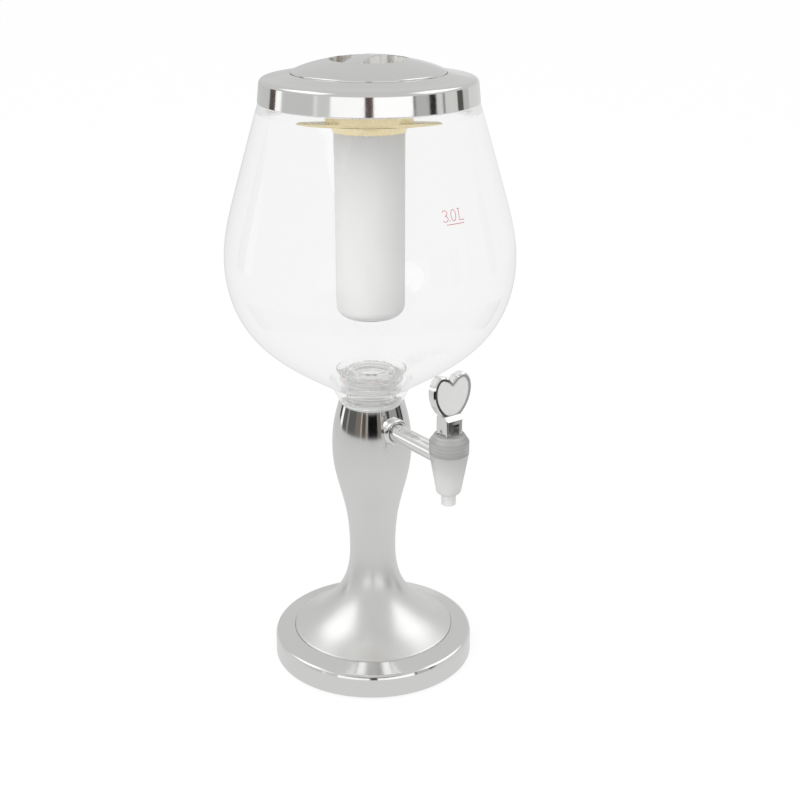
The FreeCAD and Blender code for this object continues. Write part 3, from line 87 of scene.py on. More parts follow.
# Floor: rings in metres, and the distances at which its reflection changes
FLOOR_RINGS = (0.0, 0.3, 1.0, 4.0, 24.0)
FLOOR_SIDES = 96
FLOOR_ROUGHNESS = 0.9
FLOOR_GREY_SPAN = (0.2, 0.75)
FLOOR_STRIP_SPAN = (1.4, 1.7)

# Lamp
LAMP_AT = (-1.5, -0.6, 1.7)
LAMP_AIM = (0.0, 0.0, 0.2)
LAMP_SIZE = 1.6
LAMP_POWER = 16.0

# Painted reflections streaked in the cap's finger wells: their two colours, and the levels of noise at
# which they change
WELL_DARK_REFLECTION = (0.34, 0.30, 0.25)
WELL_LIGHT_REFLECTION = (0.97, 0.97, 0.96)
WELL_REFLECTION_STREAKS = (0.34, 0.50)

# Where the wells lie, in millimetres. The dome falls by DOME_FALL times its radius squared, in metres
WELL_R = 27.4
WELL_UNDER_DOME = 0.5
DOME_TOP = 455.0
DOME_FALL = 3.9

# Rays that have turned more often than this inside a clear piece end in a painted glow of its own pale
# level
DEEP_RAY = 5.5

# Strength of the faint painted shade lines of the inner threads round the bonnet, and how far light spreads
# in soft white pieces, in metres
THREAD_SHADE_LINE = 0.05
SUBSURFACE_SCALE = 0.004

# Handled skins: shares of the broad and the fine patches, and the sum's span from clean to marked
BROAD_SHARE = 0.8
FINE_SHARE = 0.35
FILM_SPAN = (0.5, 0.78)

# Splines of the stem's and the bowl's outside: (radius, height) in millimetres about the stem's axis
STEM_OUTLINE = [(60.4, 23.6), (48.5, 30.6), (37.3, 40.0), (22.6, 60.0), (17.9, 78.0), (17.4, 96.0),
                (19.7, 120.0), (24.4, 140.0), (28.6, 160.0), (29.4, 174.0), (28.2, 190.0), (23.9, 208.3)]
BOWL_OUTLINE = [(30.0, 221.1), (41.0, 228.0), (53.6, 236.0), (67.9, 246.2), (83.0, 260.2), (95.6, 280.0),
                (102.0, 304.0), (101.6, 330.0), (95.9, 355.0), (88.6, 380.0), (81.2, 405.0), (75.4, 424.0)]
BOWL_SKIRT = [(23.9, 209.4), (27.3, 216.6), (30.0, 221.1)]
BOWL_WALL = 2.6
STEM_WALL = 2.0

# Straight outlines: (radius, height) in millimetres, and a corner's own radius where it is round
STEM_LIP = [(23.75, 208.5, 0.15), (22.5, 208.5)]
STEM_LEDGE = [(22.5, 206.0), (21.8, 206.0), (21.8, 203.0)]
STEM_FOOT = [(58.4, 23.0), (58.4, 17.4, 0.3), (64.7, 17.4, 0.3), (64.7, 19.4, 0.3), (60.66, 19.4, 0.2),
             (60.66, 22.9), (60.6, 23.2), (60.5, 23.45)]
STEM_INSIDE_TOP = 202.0
STEM_INSIDE_R = 58.0
BOWL_NECK = [(72.2, 424.0, 0.3), (72.2, 434.0, 0.9), (69.8, 434.0, 0.9), (69.8, 423.6, 1.5),
             (74.4, 417.6, 1.5)]
BOWL_FLOOR = [(31.6, 224.4, 1.2), (18.0, 224.4, 0.3), (18.0, 221.6, 0.3), (26.6, 221.6, 0.5),
              (24.6, 216.6, 2.0), (21.7, 209.4, 0.3), (23.9, 209.4)]
BOWL_INSIDE_LOW = 225.4
BOWL_INSIDE_HIGH = 415.0

# The same, closed from the last point to the first
BASE_RING = [(74.0, 2.0), (75.9, 2.0, 0.3), (75.75, 16.4, 3.0), (74.9, 18.9, 1.0), (73.6, 19.7, 1.4),
             (60.75, 23.1, 0.55), (60.75, 21.0), (71.6, 18.0, 1.0), (74.0, 14.5)]
LID_RING = [(73.7, 424.3), (75.7, 424.3, 0.7), (74.1, 440.0, 3.5), (64.0, 441.4, 25.0), (53.2, 443.7, 0.35),
            (53.1, 442.0), (46.8, 442.0), (46.8, 440.0), (69.6, 438.3), (72.4, 436.8)]
RING_NUT = [(18.0, 225.6), (22.7, 225.6, 0.5), (24.2, 228.6, 2.0), (26.4, 231.5, 0.4), (25.0, 231.5, 0.3),
            (22.4, 228.6, 1.5), (20.6, 227.8, 0.4), (18.0, 227.8)]
TUBE_COLLAR = [(24.6, 405.0), (25.3, 405.0, 0.2), (26.2, 409.0, 4.0), (28.6, 411.8, 0.3),
               (28.6, 413.0, 0.2), (24.6, 413.0)]
TAP_BODY = [(4.4, 167.5), (8.4, 167.5, 2.4), (13.7, 197.4, 0.25), (11.4, 197.4), (11.4, 203.0, 0.2),
            (7.4, 203.0, 0.2), (7.4, 182.4), (4.4, 178.6)]
TAP_SPOUT = [(3.4, 158.5), (5.05, 158.5, 0.8), (5.05, 167.45, 0.1), (4.35, 167.45), (4.35, 173.0),
             (3.4, 173.0)]
TAP_BONNET = [(11.5, 197.45), (13.8, 197.45, 0.4), (13.8, 206.3, 0.7), (10.5, 211.3, 0.5),
              (9.2, 211.3, 0.2), (9.2, 210.9, 0.1), (8.4, 210.9, 0.1), (8.4, 211.3, 0.2),
              (1.7, 211.3, 0.2), (1.7, 208.8), (7.4, 208.8), (7.4, 204.4), (11.5, 204.4)]

# About the tap's level pipe instead: (radius, distance from the stem's axis)
TAP_ROSETTE = [(6.6, 24.6), (10.0, 24.6), (10.0, 31.9, 2.4), (6.7, 32.4, 1.5), (6.6, 30.6)]
TAP_PIPE = [(3.4, 9.5), (5.0, 9.5, 0.5), (5.0, 28.0), (6.5, 28.0), (6.5, 81.0), (4.5, 81.0), (4.5, 83.6),
            (3.4, 83.6)]

# Open outline from pole to pole
ICE_TUBE = [(0.0, 272.8), (24.5, 272.8, 9.0), (24.6, 400.0), (24.5, 413.0, 0.2), (22.5, 413.0, 0.2),
            (22.5, 274.8, 7.0), (0.0, 274.8)]

# Segments round a piece, and the rows of the long plated bands, in millimetres
RING_SEGMENTS = 288
TUBE_SEGMENTS = 192
TAP_SEGMENTS = 128
SMALL_SEGMENTS = 96
LID_ROWS = 1.0
BASE_ROWS = 1.2
BOWL_SPAN = 9

# Axis of the tap, and height of its pipe
TAP_Y = -92.2
TAP_Z = 192.0

# Filling mark, in millimetres: heights of its letters, width and outer and inner lift of its strokes,
# places of the letters along it, and their half widths
MARK_LOW = 359.6
MARK_HIGH = 366.8
MARK_WIDTH = 0.42
MARK_LIFTS = (0.10, 0.02)
MARK_THREE_X = -7.0
MARK_POINT_X = -3.6
MARK_ZERO_X = -0.4
MARK_HALF_LETTER = 1.9
MARK_LOWER_BOW = 2.1
MARK_POINT_R = 0.12


# Curves and surfaces


def through(points, per_span=14):
    """Natural cubic spline through the points, with chord length as its parameter."""
    p = np.asarray(points, float)
    n = len(p)
    chord = np.linalg.norm(np.diff(p, axis=0), axis=1)
    t = np.concatenate([[0.0], np.cumsum(chord)])
    system = np.eye(n)
    right = np.zeros_like(p)
    for i in range(1, n - 1):
        system[i, i - 1:i + 2] = chord[i - 1], 2 * (chord[i - 1] + chord[i]), chord[i]
        right[i] = 6 * ((p[i + 1] - p[i]) / chord[i] - (p[i] - p[i - 1]) / chord[i - 1])
    bend = np.linalg.solve(system, right)
    spans = [np.linspace(t[i], t[i + 1], per_span, endpoint=False) for i in range(n - 1)]
    s = np.concatenate(spans + [t[-1:]])
    k = np.clip(np.searchsorted(t, s, side="right") - 1, 0, n - 2)
    h = chord[k][:, None]
    a = (t[k + 1] - s)[:, None]
    b = (s - t[k])[:, None]
    return (bend[k] * a ** 3 + bend[k + 1] * b ** 3) / (6 * h) \
        + (p[k] / h - bend[k] * h / 6) * a + (p[k + 1] / h - bend[k + 1] * h / 6) * b


def inward(path, distance):
    """The path moved to its left by a distance, square to its own direction."""
    d = np.gradient(path, axis=0)
    d /= np.linalg.norm(d, axis=1)[:, None]
    return path + distance * np.c_[-d[:, 1], d[:, 0]]


def corners(points, steps=6):
    """Polyline whose corners (x, y, radius) are rounded by arcs between their tangent points."""
    pts = [np.array(q[:2], float) for q in points]
    out = []
    for i, q in enumerate(points):
        radius = q[2] if len(q) > 2 else 0.0
        if radius == 0.0 or i in (0, len(points) - 1):
            out.append(pts[i][None])
            continue
        a, b, c = pts[i - 1], pts[i], pts[i + 1]
        u, w = (a - b) / np.linalg.norm(a - b), (c - b) / np.linalg.norm(c - b)
        half = math.acos(np.clip(u @ w, -1, 1)) / 2
        reach = radius / math.tan(half)
        middle = b + (u + w) / np.linalg.norm(u + w) * radius / math.sin(half)
        start, end = b + u * reach - middle, b + w * reach - middle
        turn = math.atan2(start[0] * end[1] - start[1] * end[0], start @ end)
        angles = np.linspace(0, turn, steps + 1)
        out.append(middle + np.c_[start[0] * np.cos(angles) - start[1] * np.sin(angles),
                                  start[0] * np.sin(angles) + start[1] * np.cos(angles)])
    return np.concatenate(out)


def add_mesh(name, verts, faces, smooth_angle=32):
    """Object from arrays, doubles merged, normals outwards, edges over the angle kept sharp."""
    mesh = bpy.data.meshes.new(name)
    mesh.from_pydata(np.asarray(verts).tolist(), [], np.asarray(faces).tolist())
    work = bmesh.new()
    work.from_mesh(mesh)
    bmesh.ops.remove_doubles(work, verts=work.verts, dist=1e-6)
    bmesh.ops.dissolve_degenerate(work, edges=work.edges, dist=1e-7)
    bmesh.ops.recalc_face_normals(work, faces=work.faces)
    work.to_mesh(mesh)
    work.free()
    mesh.shade_smooth()
    mesh.set_sharp_from_angle(angle=smooth_angle * DEG)
    piece = bpy.data.objects.new(name, mesh)
    bpy.context.scene.collection.objects.link(piece)
    return piece


def grid_faces(rows, cols, wrap_rows, wrap_cols):
    """Quads of a grid of rows by cols points, closed on itself where wrap says so."""
    i = np.arange(rows if wrap_rows else rows - 1)
    j = np.arange(cols if wrap_cols else cols - 1)
    i, j = [a.ravel() for a in np.meshgrid(i, j, indexing="ij")]
    i2, j2 = (i + 1) % rows, (j + 1) % cols
    return np.c_[i * cols + j, i * cols + j2, i2 * cols + j2, i2 * cols + j]


def finely(path, step):
    """The path with points added so that none of its runs is longer than the step."""
    counts = np.ceil(np.linalg.norm(np.diff(path, axis=0), axis=1) / step).astype(int)
    runs = [np.linspace(a, b, max(n, 1), endpoint=False) for a, b, n in zip(path[:-1], path[1:], counts)]
    return np.concatenate(runs + [path[-1:]])


def turned(name, path, at=(0.0, 0.0), segments=RING_SEGMENTS, closed=True, smooth_angle=32, rows=None):
    """Turned surface: P(u, v) = (x + r(v) sin u, y - r(v) cos u, z(v)), with v along the path."""
    path = np.asarray(path)
    if rows:
        path = finely(path, rows)
    u = np.linspace(0, 2 * math.pi, segments, endpoint=False)
    r, z = path[:, 0][:, None], path[:, 1][:, None]
    verts = np.stack([at[0] + r * np.sin(u), at[1] - r * np.cos(u), z + 0 * u], axis=-1) * MM
    faces = grid_faces(len(path), segments, closed, True)
    return add_mesh(name, verts.reshape(-1, 3), faces, smooth_angle)


def turned_on_pipe(name, path):
    """Turned about the tap's level pipe: P(u, v) = (r(v) sin u, -s(v), TAP_Z + r(v) cos u)."""
    path = np.asarray(path)
    u = np.linspace(0, 2 * math.pi, SMALL_SEGMENTS, endpoint=False)
    r, s = path[:, 0][:, None], path[:, 1][:, None]
    verts = np.stack([r * np.sin(u), -s + 0 * u, TAP_Z + r * np.cos(u)], axis=-1) * MM
    return add_mesh(name, verts.reshape(-1, 3), grid_faces(len(path), SMALL_SEGMENTS, True, True))


def loop(outline, steps=6):
    """A closed outline with its corners rounded, without its first point again at the end."""
    return corners(outline + outline[:1], steps)[:-1]


# Node groups


def group(name, inputs, outputs):
    """Empty shader group with named float inputs and outputs."""
    tree = bpy.data.node_groups.new(name, "ShaderNodeTree")
    for label, default in inputs:
        socket = tree.interface.new_socket(label, in_out="INPUT", socket_type="NodeSocketFloat")
        socket.default_value = default
    for label in outputs:
        tree.interface.new_socket(label, in_out="OUTPUT", socket_type="NodeSocketFloat")
    return tree, tree.nodes.new("NodeGroupInput"), tree.nodes.new("NodeGroupOutput")


def noise(tree, vector, scale, detail=3.0, stretch=None):
    """Noise texture on Object coordinates, stretched along the axes if asked."""
    if stretch:
        mapping = tree.nodes.new("ShaderNodeMapping")
        mapping.inputs["Scale"].default_value = stretch
        tree.links.new(vector, mapping.inputs["Vector"])
        vector = mapping.outputs["Vector"]
    texture = tree.nodes.new("ShaderNodeTexNoise")
    texture.inputs["Scale"].default_value = scale
    texture.inputs["Detail"].default_value = detail
    tree.links.new(vector, texture.inputs["Vector"])
    return texture.outputs["Fac"]


def feed(tree, socket, value):
    """Sets a socket to a number or a colour, or links it to another socket."""
    if isinstance(value, (int, float)):
        socket.default_value = value
    elif isinstance(value, tuple):
        socket.default_value = (*value, 1.0)
    else:
        tree.links.new(value, socket)


def maths(tree, operation, *values):
    """Math node on sockets or numbers."""
    node = tree.nodes.new("ShaderNodeMath")
    node.operation = operation
    for slot, value in zip(node.inputs, values):
        feed(tree, slot, value)
    return node.outputs[0]


def spread(tree, value, lo, hi, to_lo, to_hi, smooth=False):
    """Map Range node: lo..hi of the value becomes to_lo..to_hi, clamped."""
    node = tree.nodes.new("ShaderNodeMapRange")
    if smooth:
        node.interpolation_type = "SMOOTHSTEP"
    for label, item in (("From Min", lo), ("From Max", hi), ("To Min", to_lo), ("To Max", to_hi),
                        ("Value", value)):
        feed(tree, node.inputs[label], item)
    return node.outputs["Result"]


def between(tree, value, span, soft):
    """1 where the value lies in the span, with soft edges."""
    low, high = span
    rise = spread(tree, value, low - soft, low + soft, 0.0, 1.0, smooth=True)
    fall = spread(tree, value, high - soft, high + soft, 1.0, 0.0, smooth=True)
    return maths(tree, "MULTIPLY", rise, fall)


def mix_colour(tree, factor, a, b):
    """Colour a where the factor is 0, b where it is 1; each is a socket, a level or a colour."""
    node = tree.nodes.new("ShaderNodeMix")
    node.data_type = "RGBA"
    feed(tree, node.inputs["Factor"], factor)
    for label, value in (("A", a), ("B", b)):
        feed(tree, node.inputs[label], (value,) * 3 if isinstance(value, (int, float)) else value)
    return node.outputs["Result"]


def mix_shader(tree, factor, a, b):
    """Shader a where the factor is 0, b where it is 1."""
    node = tree.nodes.new("ShaderNodeMixShader")
    for slot, value in zip(node.inputs, (factor, a, b)):
        tree.links.new(value, slot)
    return node.outputs["Shader"]


def glow(tree, colour=1.0, strength=1.0):
    """Emission of a colour and a strength, each a socket or a level."""
    node = tree.nodes.new("ShaderNodeEmission")
    feed(tree, node.inputs["Color"], (colour,) * 3 if isinstance(colour, (int, float)) else colour)
    feed(tree, node.inputs["Strength"], strength)
    return node.outputs["Emission"]


def object_place(tree):
    """Object coordinates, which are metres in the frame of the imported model."""
    return tree.nodes.new("ShaderNodeTexCoord").outputs["Object"]


def apart(tree, vector):
    """X, Y and Z of a vector."""
    split = tree.nodes.new("ShaderNodeSeparateXYZ")
    tree.links.new(vector, split.inputs["Vector"])
    return split.outputs["X"], split.outputs["Y"], split.outputs["Z"]


def well_mask(tree):
    """1 inside the cap's two finger wells: within their radius and under the dome's surface."""
    x, y, z = apart(tree, object_place(tree))
    square = maths(tree, "MULTIPLY_ADD", y, y, maths(tree, "MULTIPLY", x, x))
    inside = maths(tree, "LESS_THAN", square, (WELL_R * MM) ** 2)
    dome = maths(tree, "MULTIPLY_ADD", square, -DOME_FALL, (DOME_TOP - WELL_UNDER_DOME) * MM)
    return maths(tree, "MULTIPLY", inside, maths(tree, "LESS_THAN", z, dome))


def make_handling_marks():
    """Wiped film and fingerprints: broad soft patches broken by finer ones, as a roughness value."""
    tree, inputs, outputs = group("handling_marks", [("Clean", 0.08), ("Marked", 0.16)], ["Roughness"])
    where = object_place(tree)
    broad = noise(tree, where, scale=14.0, detail=4.0)
    fine = noise(tree, where, scale=160.0, detail=2.0)
    mixed = maths(tree, "MULTIPLY_ADD", fine, FINE_SHARE, maths(tree, "MULTIPLY", broad, BROAD_SHARE))
    mask = spread(tree, mixed, *FILM_SPAN, 0.0, 1.0)
    rough = spread(tree, mask, 0.0, 1.0, inputs.outputs["Clean"], inputs.outputs["Marked"])
    tree.links.new(rough, outputs.inputs["Roughness"])
    return tree


def make_skin_ripple():
    """Height of a moulded or plated skin: a slow wave with a faint fine grain on it."""
    tree, inputs, outputs = group("skin_ripple", [("Wave", 0.5), ("Grain", 0.2), ("Grain Scale", 900.0)],
                                  ["Height"])
    where = object_place(tree)
    wave = noise(tree, where, scale=22.0, detail=1.0)
    texture = tree.nodes.new("ShaderNodeTexNoise")
    tree.links.new(where, texture.inputs["Vector"])
    tree.links.new(inputs.outputs["Grain Scale"], texture.inputs["Scale"])
    grain = maths(tree, "MULTIPLY", texture.outputs["Fac"], inputs.outputs["Grain"])
    height = maths(tree, "MULTIPLY_ADD", wave, inputs.outputs["Wave"], grain)
    tree.links.new(height, outputs.inputs["Height"])
    return tree


def make_brush_lines():
    """Height of fine parallel lines, long along Z."""
    tree, inputs, outputs = group("brush_lines", [("Strength", 1.0)], ["Height"])
    lines = noise(tree, object_place(tree), scale=260.0, detail=2.0, stretch=(1.0, 1.0, 0.04))
    tree.links.new(maths(tree, "MULTIPLY", lines, inputs.outputs["Strength"]), outputs.inputs["Height"])
    return tree


HANDLING_MARKS = make_handling_marks()
SKIN_RIPPLE = make_skin_ripple()
BRUSH_LINES = make_brush_lines()


# Materials


def add_film(tree, clean, marked):
    """Roughness of a handled skin, between its clean and its marked value."""
    film = tree.nodes.new("ShaderNodeGroup")
    film.node_tree = HANDLING_MARKS
    film.inputs["Clean"].default_value = clean
    film.inputs["Marked"].default_value = marked
    return film.outputs["Roughness"]


def add_well_reflections(tree, shader, rough, colour, metallic, wells):
    """Duller finger wells streaked with painted reflections in their colour: returns the roughness with
    their part added.
    """
    rougher, well_metallic = wells
    mask = well_mask(tree)
    tree.links.new(spread(tree, mask, 0.0, 1.0, metallic, well_metallic), shader.inputs["Metallic"])
    # Painted reflections: streaks of a dark and a light colour in the wells
    painted_streaks = noise(tree, object_place(tree), scale=90.0, detail=3.0, stretch=(1.0, 1.0, 0.08))
    tone = mix_colour(tree, spread(tree, painted_streaks, *WELL_REFLECTION_STREAKS, 0.0, 1.0), WELL_DARK_REFLECTION, WELL_LIGHT_REFLECTION)
    tree.links.new(mix_colour(tree, mask, colour, tone), shader.inputs["Base Color"])
    return maths(tree, "MULTIPLY_ADD", mask, rougher, rough)


def add_painted_height_shade(tree, shader, colour, rings):
    """Painted shade: level of the colour that changes with height, with faint painted shade lines of inner
    threads round the piece if asked.
    """
    low, high, top_level, low_level, count = rings
    height = apart(tree, object_place(tree))[2]
    # Painted shade over height, with painted thread lines on it where asked
    tone = spread(tree, height, low, high, low_level, top_level)
    if count:
        wave = maths(tree, "SINE", maths(tree, "MULTIPLY", height, 2 * math.pi * count / (high - low)))
        tone = maths(tree, "ADD", tone, maths(tree, "MULTIPLY", wave, THREAD_SHADE_LINE))
    tree.links.new(mix_colour(tree, tone, 0.0, colour), shader.inputs["Base Color"])


def add_relief(tree, shader, source_group, values, distance):
    """Bump from a group's height, with the group's inputs set in their order."""
    source = tree.nodes.new("ShaderNodeGroup")
    source.node_tree = source_group
    for slot, value in zip(source.inputs, values):
        slot.default_value = value
    relief = tree.nodes.new("ShaderNodeBump")
    relief.inputs["Strength"].default_value = 1.0
    relief.inputs["Distance"].default_value = distance
    tree.links.new(source.outputs["Height"], relief.inputs["Height"])
    tree.links.new(relief.outputs["Normal"], shader.inputs["Normal"])


def add_clear_paths(tree, shader, see_shadow, deep_glow_level):
    """Lets light through to what lies under a clear piece, and ends deep rays in a painted glow of a pale
    level.
    """
    light = tree.nodes.new("ShaderNodeLightPath")
    clear = tree.nodes.new("ShaderNodeBsdfTransparent")
    clear.inputs["Color"].default_value = (see_shadow, see_shadow, see_shadow, 1.0)
    lit = shader.outputs["BSDF"]
    # Painted glow: deep rays inside the clear piece end in emission of a pale level
    if deep_glow_level:
        deep = maths(tree, "GREATER_THAN", light.outputs["Ray Depth"], DEEP_RAY)
        lit = mix_shader(tree, deep, lit, glow(tree, strength=deep_glow_level))
    lit = mix_shader(tree, light.outputs["Is Shadow Ray"], lit, clear.outputs["BSDF"])
    tree.links.new(lit, tree.nodes["Material Output"].inputs["Surface"])


def material(name, colour, roughness, metallic=0.0, marks=None, ripple=None, brushed=None,
             transmission=0.0, ior=1.49, drift=0.0, bump=0.00002, see_shadow=0.0, subsurface=0.0,
             satin_below=None, wells=None, deep_glow_level=0.0, rings=None):
    """Principled material whose roughness, height and colour vary over the surface.

    satin_below is (low, high, added roughness below them), in metres of height. wells is (added
    roughness, metallic) of the finger wells, whose colour is painted reflections. rings is the painted
    shade over
    height: (low, high, level at high, level at low, number of painted thread lines)."""
    made = bpy.data.materials.new(name)
    made.use_nodes = True
    tree = made.node_tree
    shader = tree.nodes["Principled BSDF"]
    shader.inputs["Base Color"].default_value = (*colour, 1.0)
    shader.inputs["Roughness"].default_value = roughness
    shader.inputs["Metallic"].default_value = metallic
    shader.inputs["Transmission Weight"].default_value = transmission
    shader.inputs["IOR"].default_value = ior
    if subsurface:
        shader.inputs["Subsurface Weight"].default_value = subsurface
        shader.inputs["Subsurface Scale"].default_value = SUBSURFACE_SCALE
    if marks:
        rough = add_film(tree, roughness, marks)
        if satin_below:
            low, high, satin = satin_below
            share = spread(tree, apart(tree, object_place(tree))[2], low, high, 1.0, 0.0)
            rough = maths(tree, "ADD", rough, maths(tree, "MULTIPLY", share, satin))
        if wells:
            rough = add_well_reflections(tree, shader, rough, colour, metallic, wells)
        tree.links.new(rough, shader.inputs["Roughness"])
    if rings:
        add_painted_height_shade(tree, shader, colour, rings)
    if ripple:
        add_relief(tree, shader, SKIN_RIPPLE, ripple, bump)
    if brushed:
        add_relief(tree, shader, BRUSH_LINES, (brushed,), bump)
    if drift:
        darker = tuple(level * (1 - drift) for level in colour)
        lighter = tuple(min(level * (1 + drift), 1.0) for level in colour)
        patch = noise(tree, object_place(tree), scale=30.0, detail=3.0)
        tree.links.new(mix_colour(tree, patch, darker, lighter), shader.inputs["Base Color"])
    if see_shadow:
        add_clear_paths(tree, shader, see_shadow, deep_glow_level)
    return made


PLATED_SHELL = material("plated_shell_finish", (0.80, 0.80, 0.79), 0.07, 1.0, marks=0.15,
                        ripple=(0.6, 0.05, 900.0), bump=0.00006)
PLATED_STEM = material("plated_stem_finish", (0.80, 0.80, 0.79), 0.05, 1.0, marks=0.10,
                       ripple=(0.6, 0.05, 900.0), bump=0.00005, satin_below=(0.168, 0.200, 0.26))
# The cap's finger wells get painted reflections in their colour, with little metal
PLATED_CAP = material("plated_cap_finish", (0.80, 0.80, 0.79), 0.08, 1.0, marks=0.16,
                      ripple=(0.6, 0.05, 900.0), bump=0.00005, wells=(0.22, 0.2))
PLATED_METAL = material("plated_metal_finish", (0.84, 0.84, 0.83), 0.05, 1.0, marks=0.12,
                        ripple=(0.3, 0.04, 1200.0), bump=0.00002)
SATIN_FACE = material("satin_face_finish", (0.95, 0.95, 0.945), 0.34, 0.25, brushed=1.0, bump=0.00004,
                      drift=0.02)
STEEL = material("zinc_steel_finish", (0.56, 0.57, 0.58), 0.36, 1.0, marks=0.5, ripple=(0.4, 0.6, 700.0),
                 bump=0.00004, drift=0.06)
GOLD = material("pale_gold_finish", (0.86, 0.75, 0.47), 0.22, 0.85, marks=0.34,
                ripple=(0.3, 0.4, 1100.0), bump=0.00003, drift=0.05)
# Deep rays inside the clear bowl and neck end in a painted glow
CLEAR = material("clear_bowl_finish", (1.0, 1.0, 1.0), 0.0, 0.0, ripple=(0.5, 0.0, 900.0),
                 transmission=1.0, ior=1.28, bump=0.00004, see_shadow=0.97, deep_glow_level=0.78)
CLEAR_NECK = material("clear_neck_finish", (0.97, 0.975, 0.97), 0.05, 0.0, marks=0.12,
                      ripple=(0.4, 0.2, 700.0), transmission=0.95, ior=1.33, bump=0.00004,
                      see_shadow=0.85, deep_glow_level=0.55)
FROSTED_TUBE = material("frosted_tube_finish", (0.93, 0.93, 0.925), 0.42, 0.0, marks=0.5,
                        ripple=(0.3, 0.6, 1400.0), transmission=0.35, ior=1.4, bump=0.00003,
                        see_shadow=0.35, drift=0.01)
# The tap's body is darker towards the top: painted shade under the bonnet
FROSTED_TAP = material("frosted_tap_finish", (0.95, 0.95, 0.94), 0.38, 0.0, marks=0.46,
                       ripple=(0.3, 0.5, 1500.0), transmission=0.45, ior=1.4, bump=0.00003,
                       see_shadow=0.3, rings=(0.172, 0.196, 0.83, 1.0, 0))
# The bonnet is darker towards the bottom and has faint lines round it: painted shade of its inner threads
SMOKE = material("smoke_bonnet_finish", (0.80, 0.80, 0.79), 0.22, 0.0, marks=0.3,
                 ripple=(0.3, 0.3, 1300.0), transmission=0.55, ior=1.42, bump=0.00003, see_shadow=0.25,
                 rings=(0.197, 0.212, 0.95, 0.78, 6))
LINER = material("white_liner_finish", (0.80, 0.80, 0.78), 0.45, 0.0, marks=0.55,
                 ripple=(0.3, 0.8, 900.0), bump=0.00004, drift=0.02, subsurface=0.1)
BASE_PLASTIC = material("black_base_finish", (0.028, 0.028, 0.03), 0.5, 0.0, marks=0.62,
                        ripple=(0.2, 1.0, 1600.0), bump=0.00008, drift=0.1)
RUBBER = material("black_rubber_finish", (0.022, 0.022, 0.022), 0.72, 0.0, marks=0.85,
                  ripple=(0.2, 1.0, 1100.0), bump=0.0001, drift=0.15)
SILICONE = material("silicone_finish", (0.78, 0.78, 0.76), 0.5, 0.0, marks=0.6,
                    ripple=(0.3, 0.6, 800.0), bump=0.00005, drift=0.03, subsurface=0.2)
MARK_RED = material("mark_red_finish", (0.70, 0.16, 0.20), 0.4, 0.0, marks=0.5,
                    ripple=(0.2, 0.8, 2500.0), bump=0.00001, drift=0.08)

NODE_FINISH = {
    "base_ring": PLATED_SHELL, "stem_shell": PLATED_STEM, "lid_shell": PLATED_SHELL,
    "lid_cap": PLATED_CAP, "base_plate": BASE_PLASTIC, "rubber_feet": RUBBER, "centre_pad": RUBBER,
    "base_screws": STEEL, "ballast_disc": STEEL, "tie_rod": STEEL, "rod_nut": STEEL,
    "rod_washer": STEEL, "lid_screws": STEEL, "holder_screws": STEEL, "valve_rod": STEEL,
    "valve_spring": STEEL, "lever_pin": STEEL, "stem_liner": CLEAR_NECK, "bowl": CLEAR,
    "bowl_ring_nut": CLEAR_NECK, "foot_gasket": SILICONE, "bowl_washer": SILICONE, "lid_gasket": SILICONE,
    "tube_seal": SILICONE, "shank_gasket": SILICONE, "tap_diaphragm": SILICONE, "valve_cup": SILICONE,
    "lid_liner": LINER, "shank_spacer": LINER, "tube_holder": GOLD, "tube_flange": GOLD,
    "tube_collar": GOLD, "ice_tube": FROSTED_TUBE, "tap_rosette": PLATED_METAL,
    "tap_shank": PLATED_METAL, "shank_nut": PLATED_METAL, "tap_body": FROSTED_TAP,
    "tap_spout": FROSTED_TAP, "tap_bonnet": SMOKE, "lever": PLATED_METAL, "lever_inlays": SATIN_FACE,
}


def dress(piece, finish):
    """Gives a piece one finish on all its slots."""
    piece.data.materials.clear()
    piece.data.materials.append(finish)


def stand_in(piece, node, body):
    """Lets a surfaced piece take a node's place, with the node's finish."""
    dress(piece, NODE_FINISH[node])
    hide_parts(node)
    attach(piece, body)


# Pieces


def make_stem():
    """Hollow stem, turned: the outside is a spline, the inside is the same moved in by the wall, and
    straight runs make the lip, the ledge and the foot."""
    outer = through(STEM_OUTLINE)
    inner = inward(outer, STEM_WALL)[::-1]
    inner = inner[(inner[:, 1] < STEM_INSIDE_TOP) & (inner[:, 0] < STEM_INSIDE_R)]
    lip = corners([tuple(outer[-1])] + STEM_LIP)
    return turned("stem_skin", np.concatenate([outer, lip[1:], STEM_LEDGE, inner, corners(STEM_FOOT)]))


def make_base_ring():
    """Outer ring of the base, turned from a closed outline, with close rows on its plated band."""
    return turned("base_ring_skin", loop(BASE_RING, steps=8), rows=BASE_ROWS)


def make_lid_ring():
    """Outer ring of the lid, turned from a closed outline, with close rows on its plated band."""
    return turned("lid_ring_skin", loop(LID_RING, steps=12), rows=LID_ROWS)


def make_bowl():
    """Goblet bowl, turned: skirt and wall are splines outside, the inside is the wall moved in by its
    thickness, and straight runs with round corners make the neck and the floor."""
    wall = through(BOWL_OUTLINE, BOWL_SPAN)
    inside = inward(wall, BOWL_WALL)[::-1]
    inside = inside[(inside[:, 1] < BOWL_INSIDE_HIGH) & (inside[:, 1] > BOWL_INSIDE_LOW)]
    neck = corners([wall[-1]] + BOWL_NECK + [inside[0]])
    floor = corners([inside[-1]] + BOWL_FLOOR)
    skirt = through(BOWL_SKIRT, per_span=10)
    path = np.concatenate([skirt[:-1], wall, neck[1:-1], inside, floor[1:-1]])
    return turned("bowl_skin", path, smooth_angle=28)


def make_ring_nut():
    """Clear nut on the bowl's neck fitting, turned from a closed outline."""
    return turned("ring_nut_skin", loop(RING_NUT))


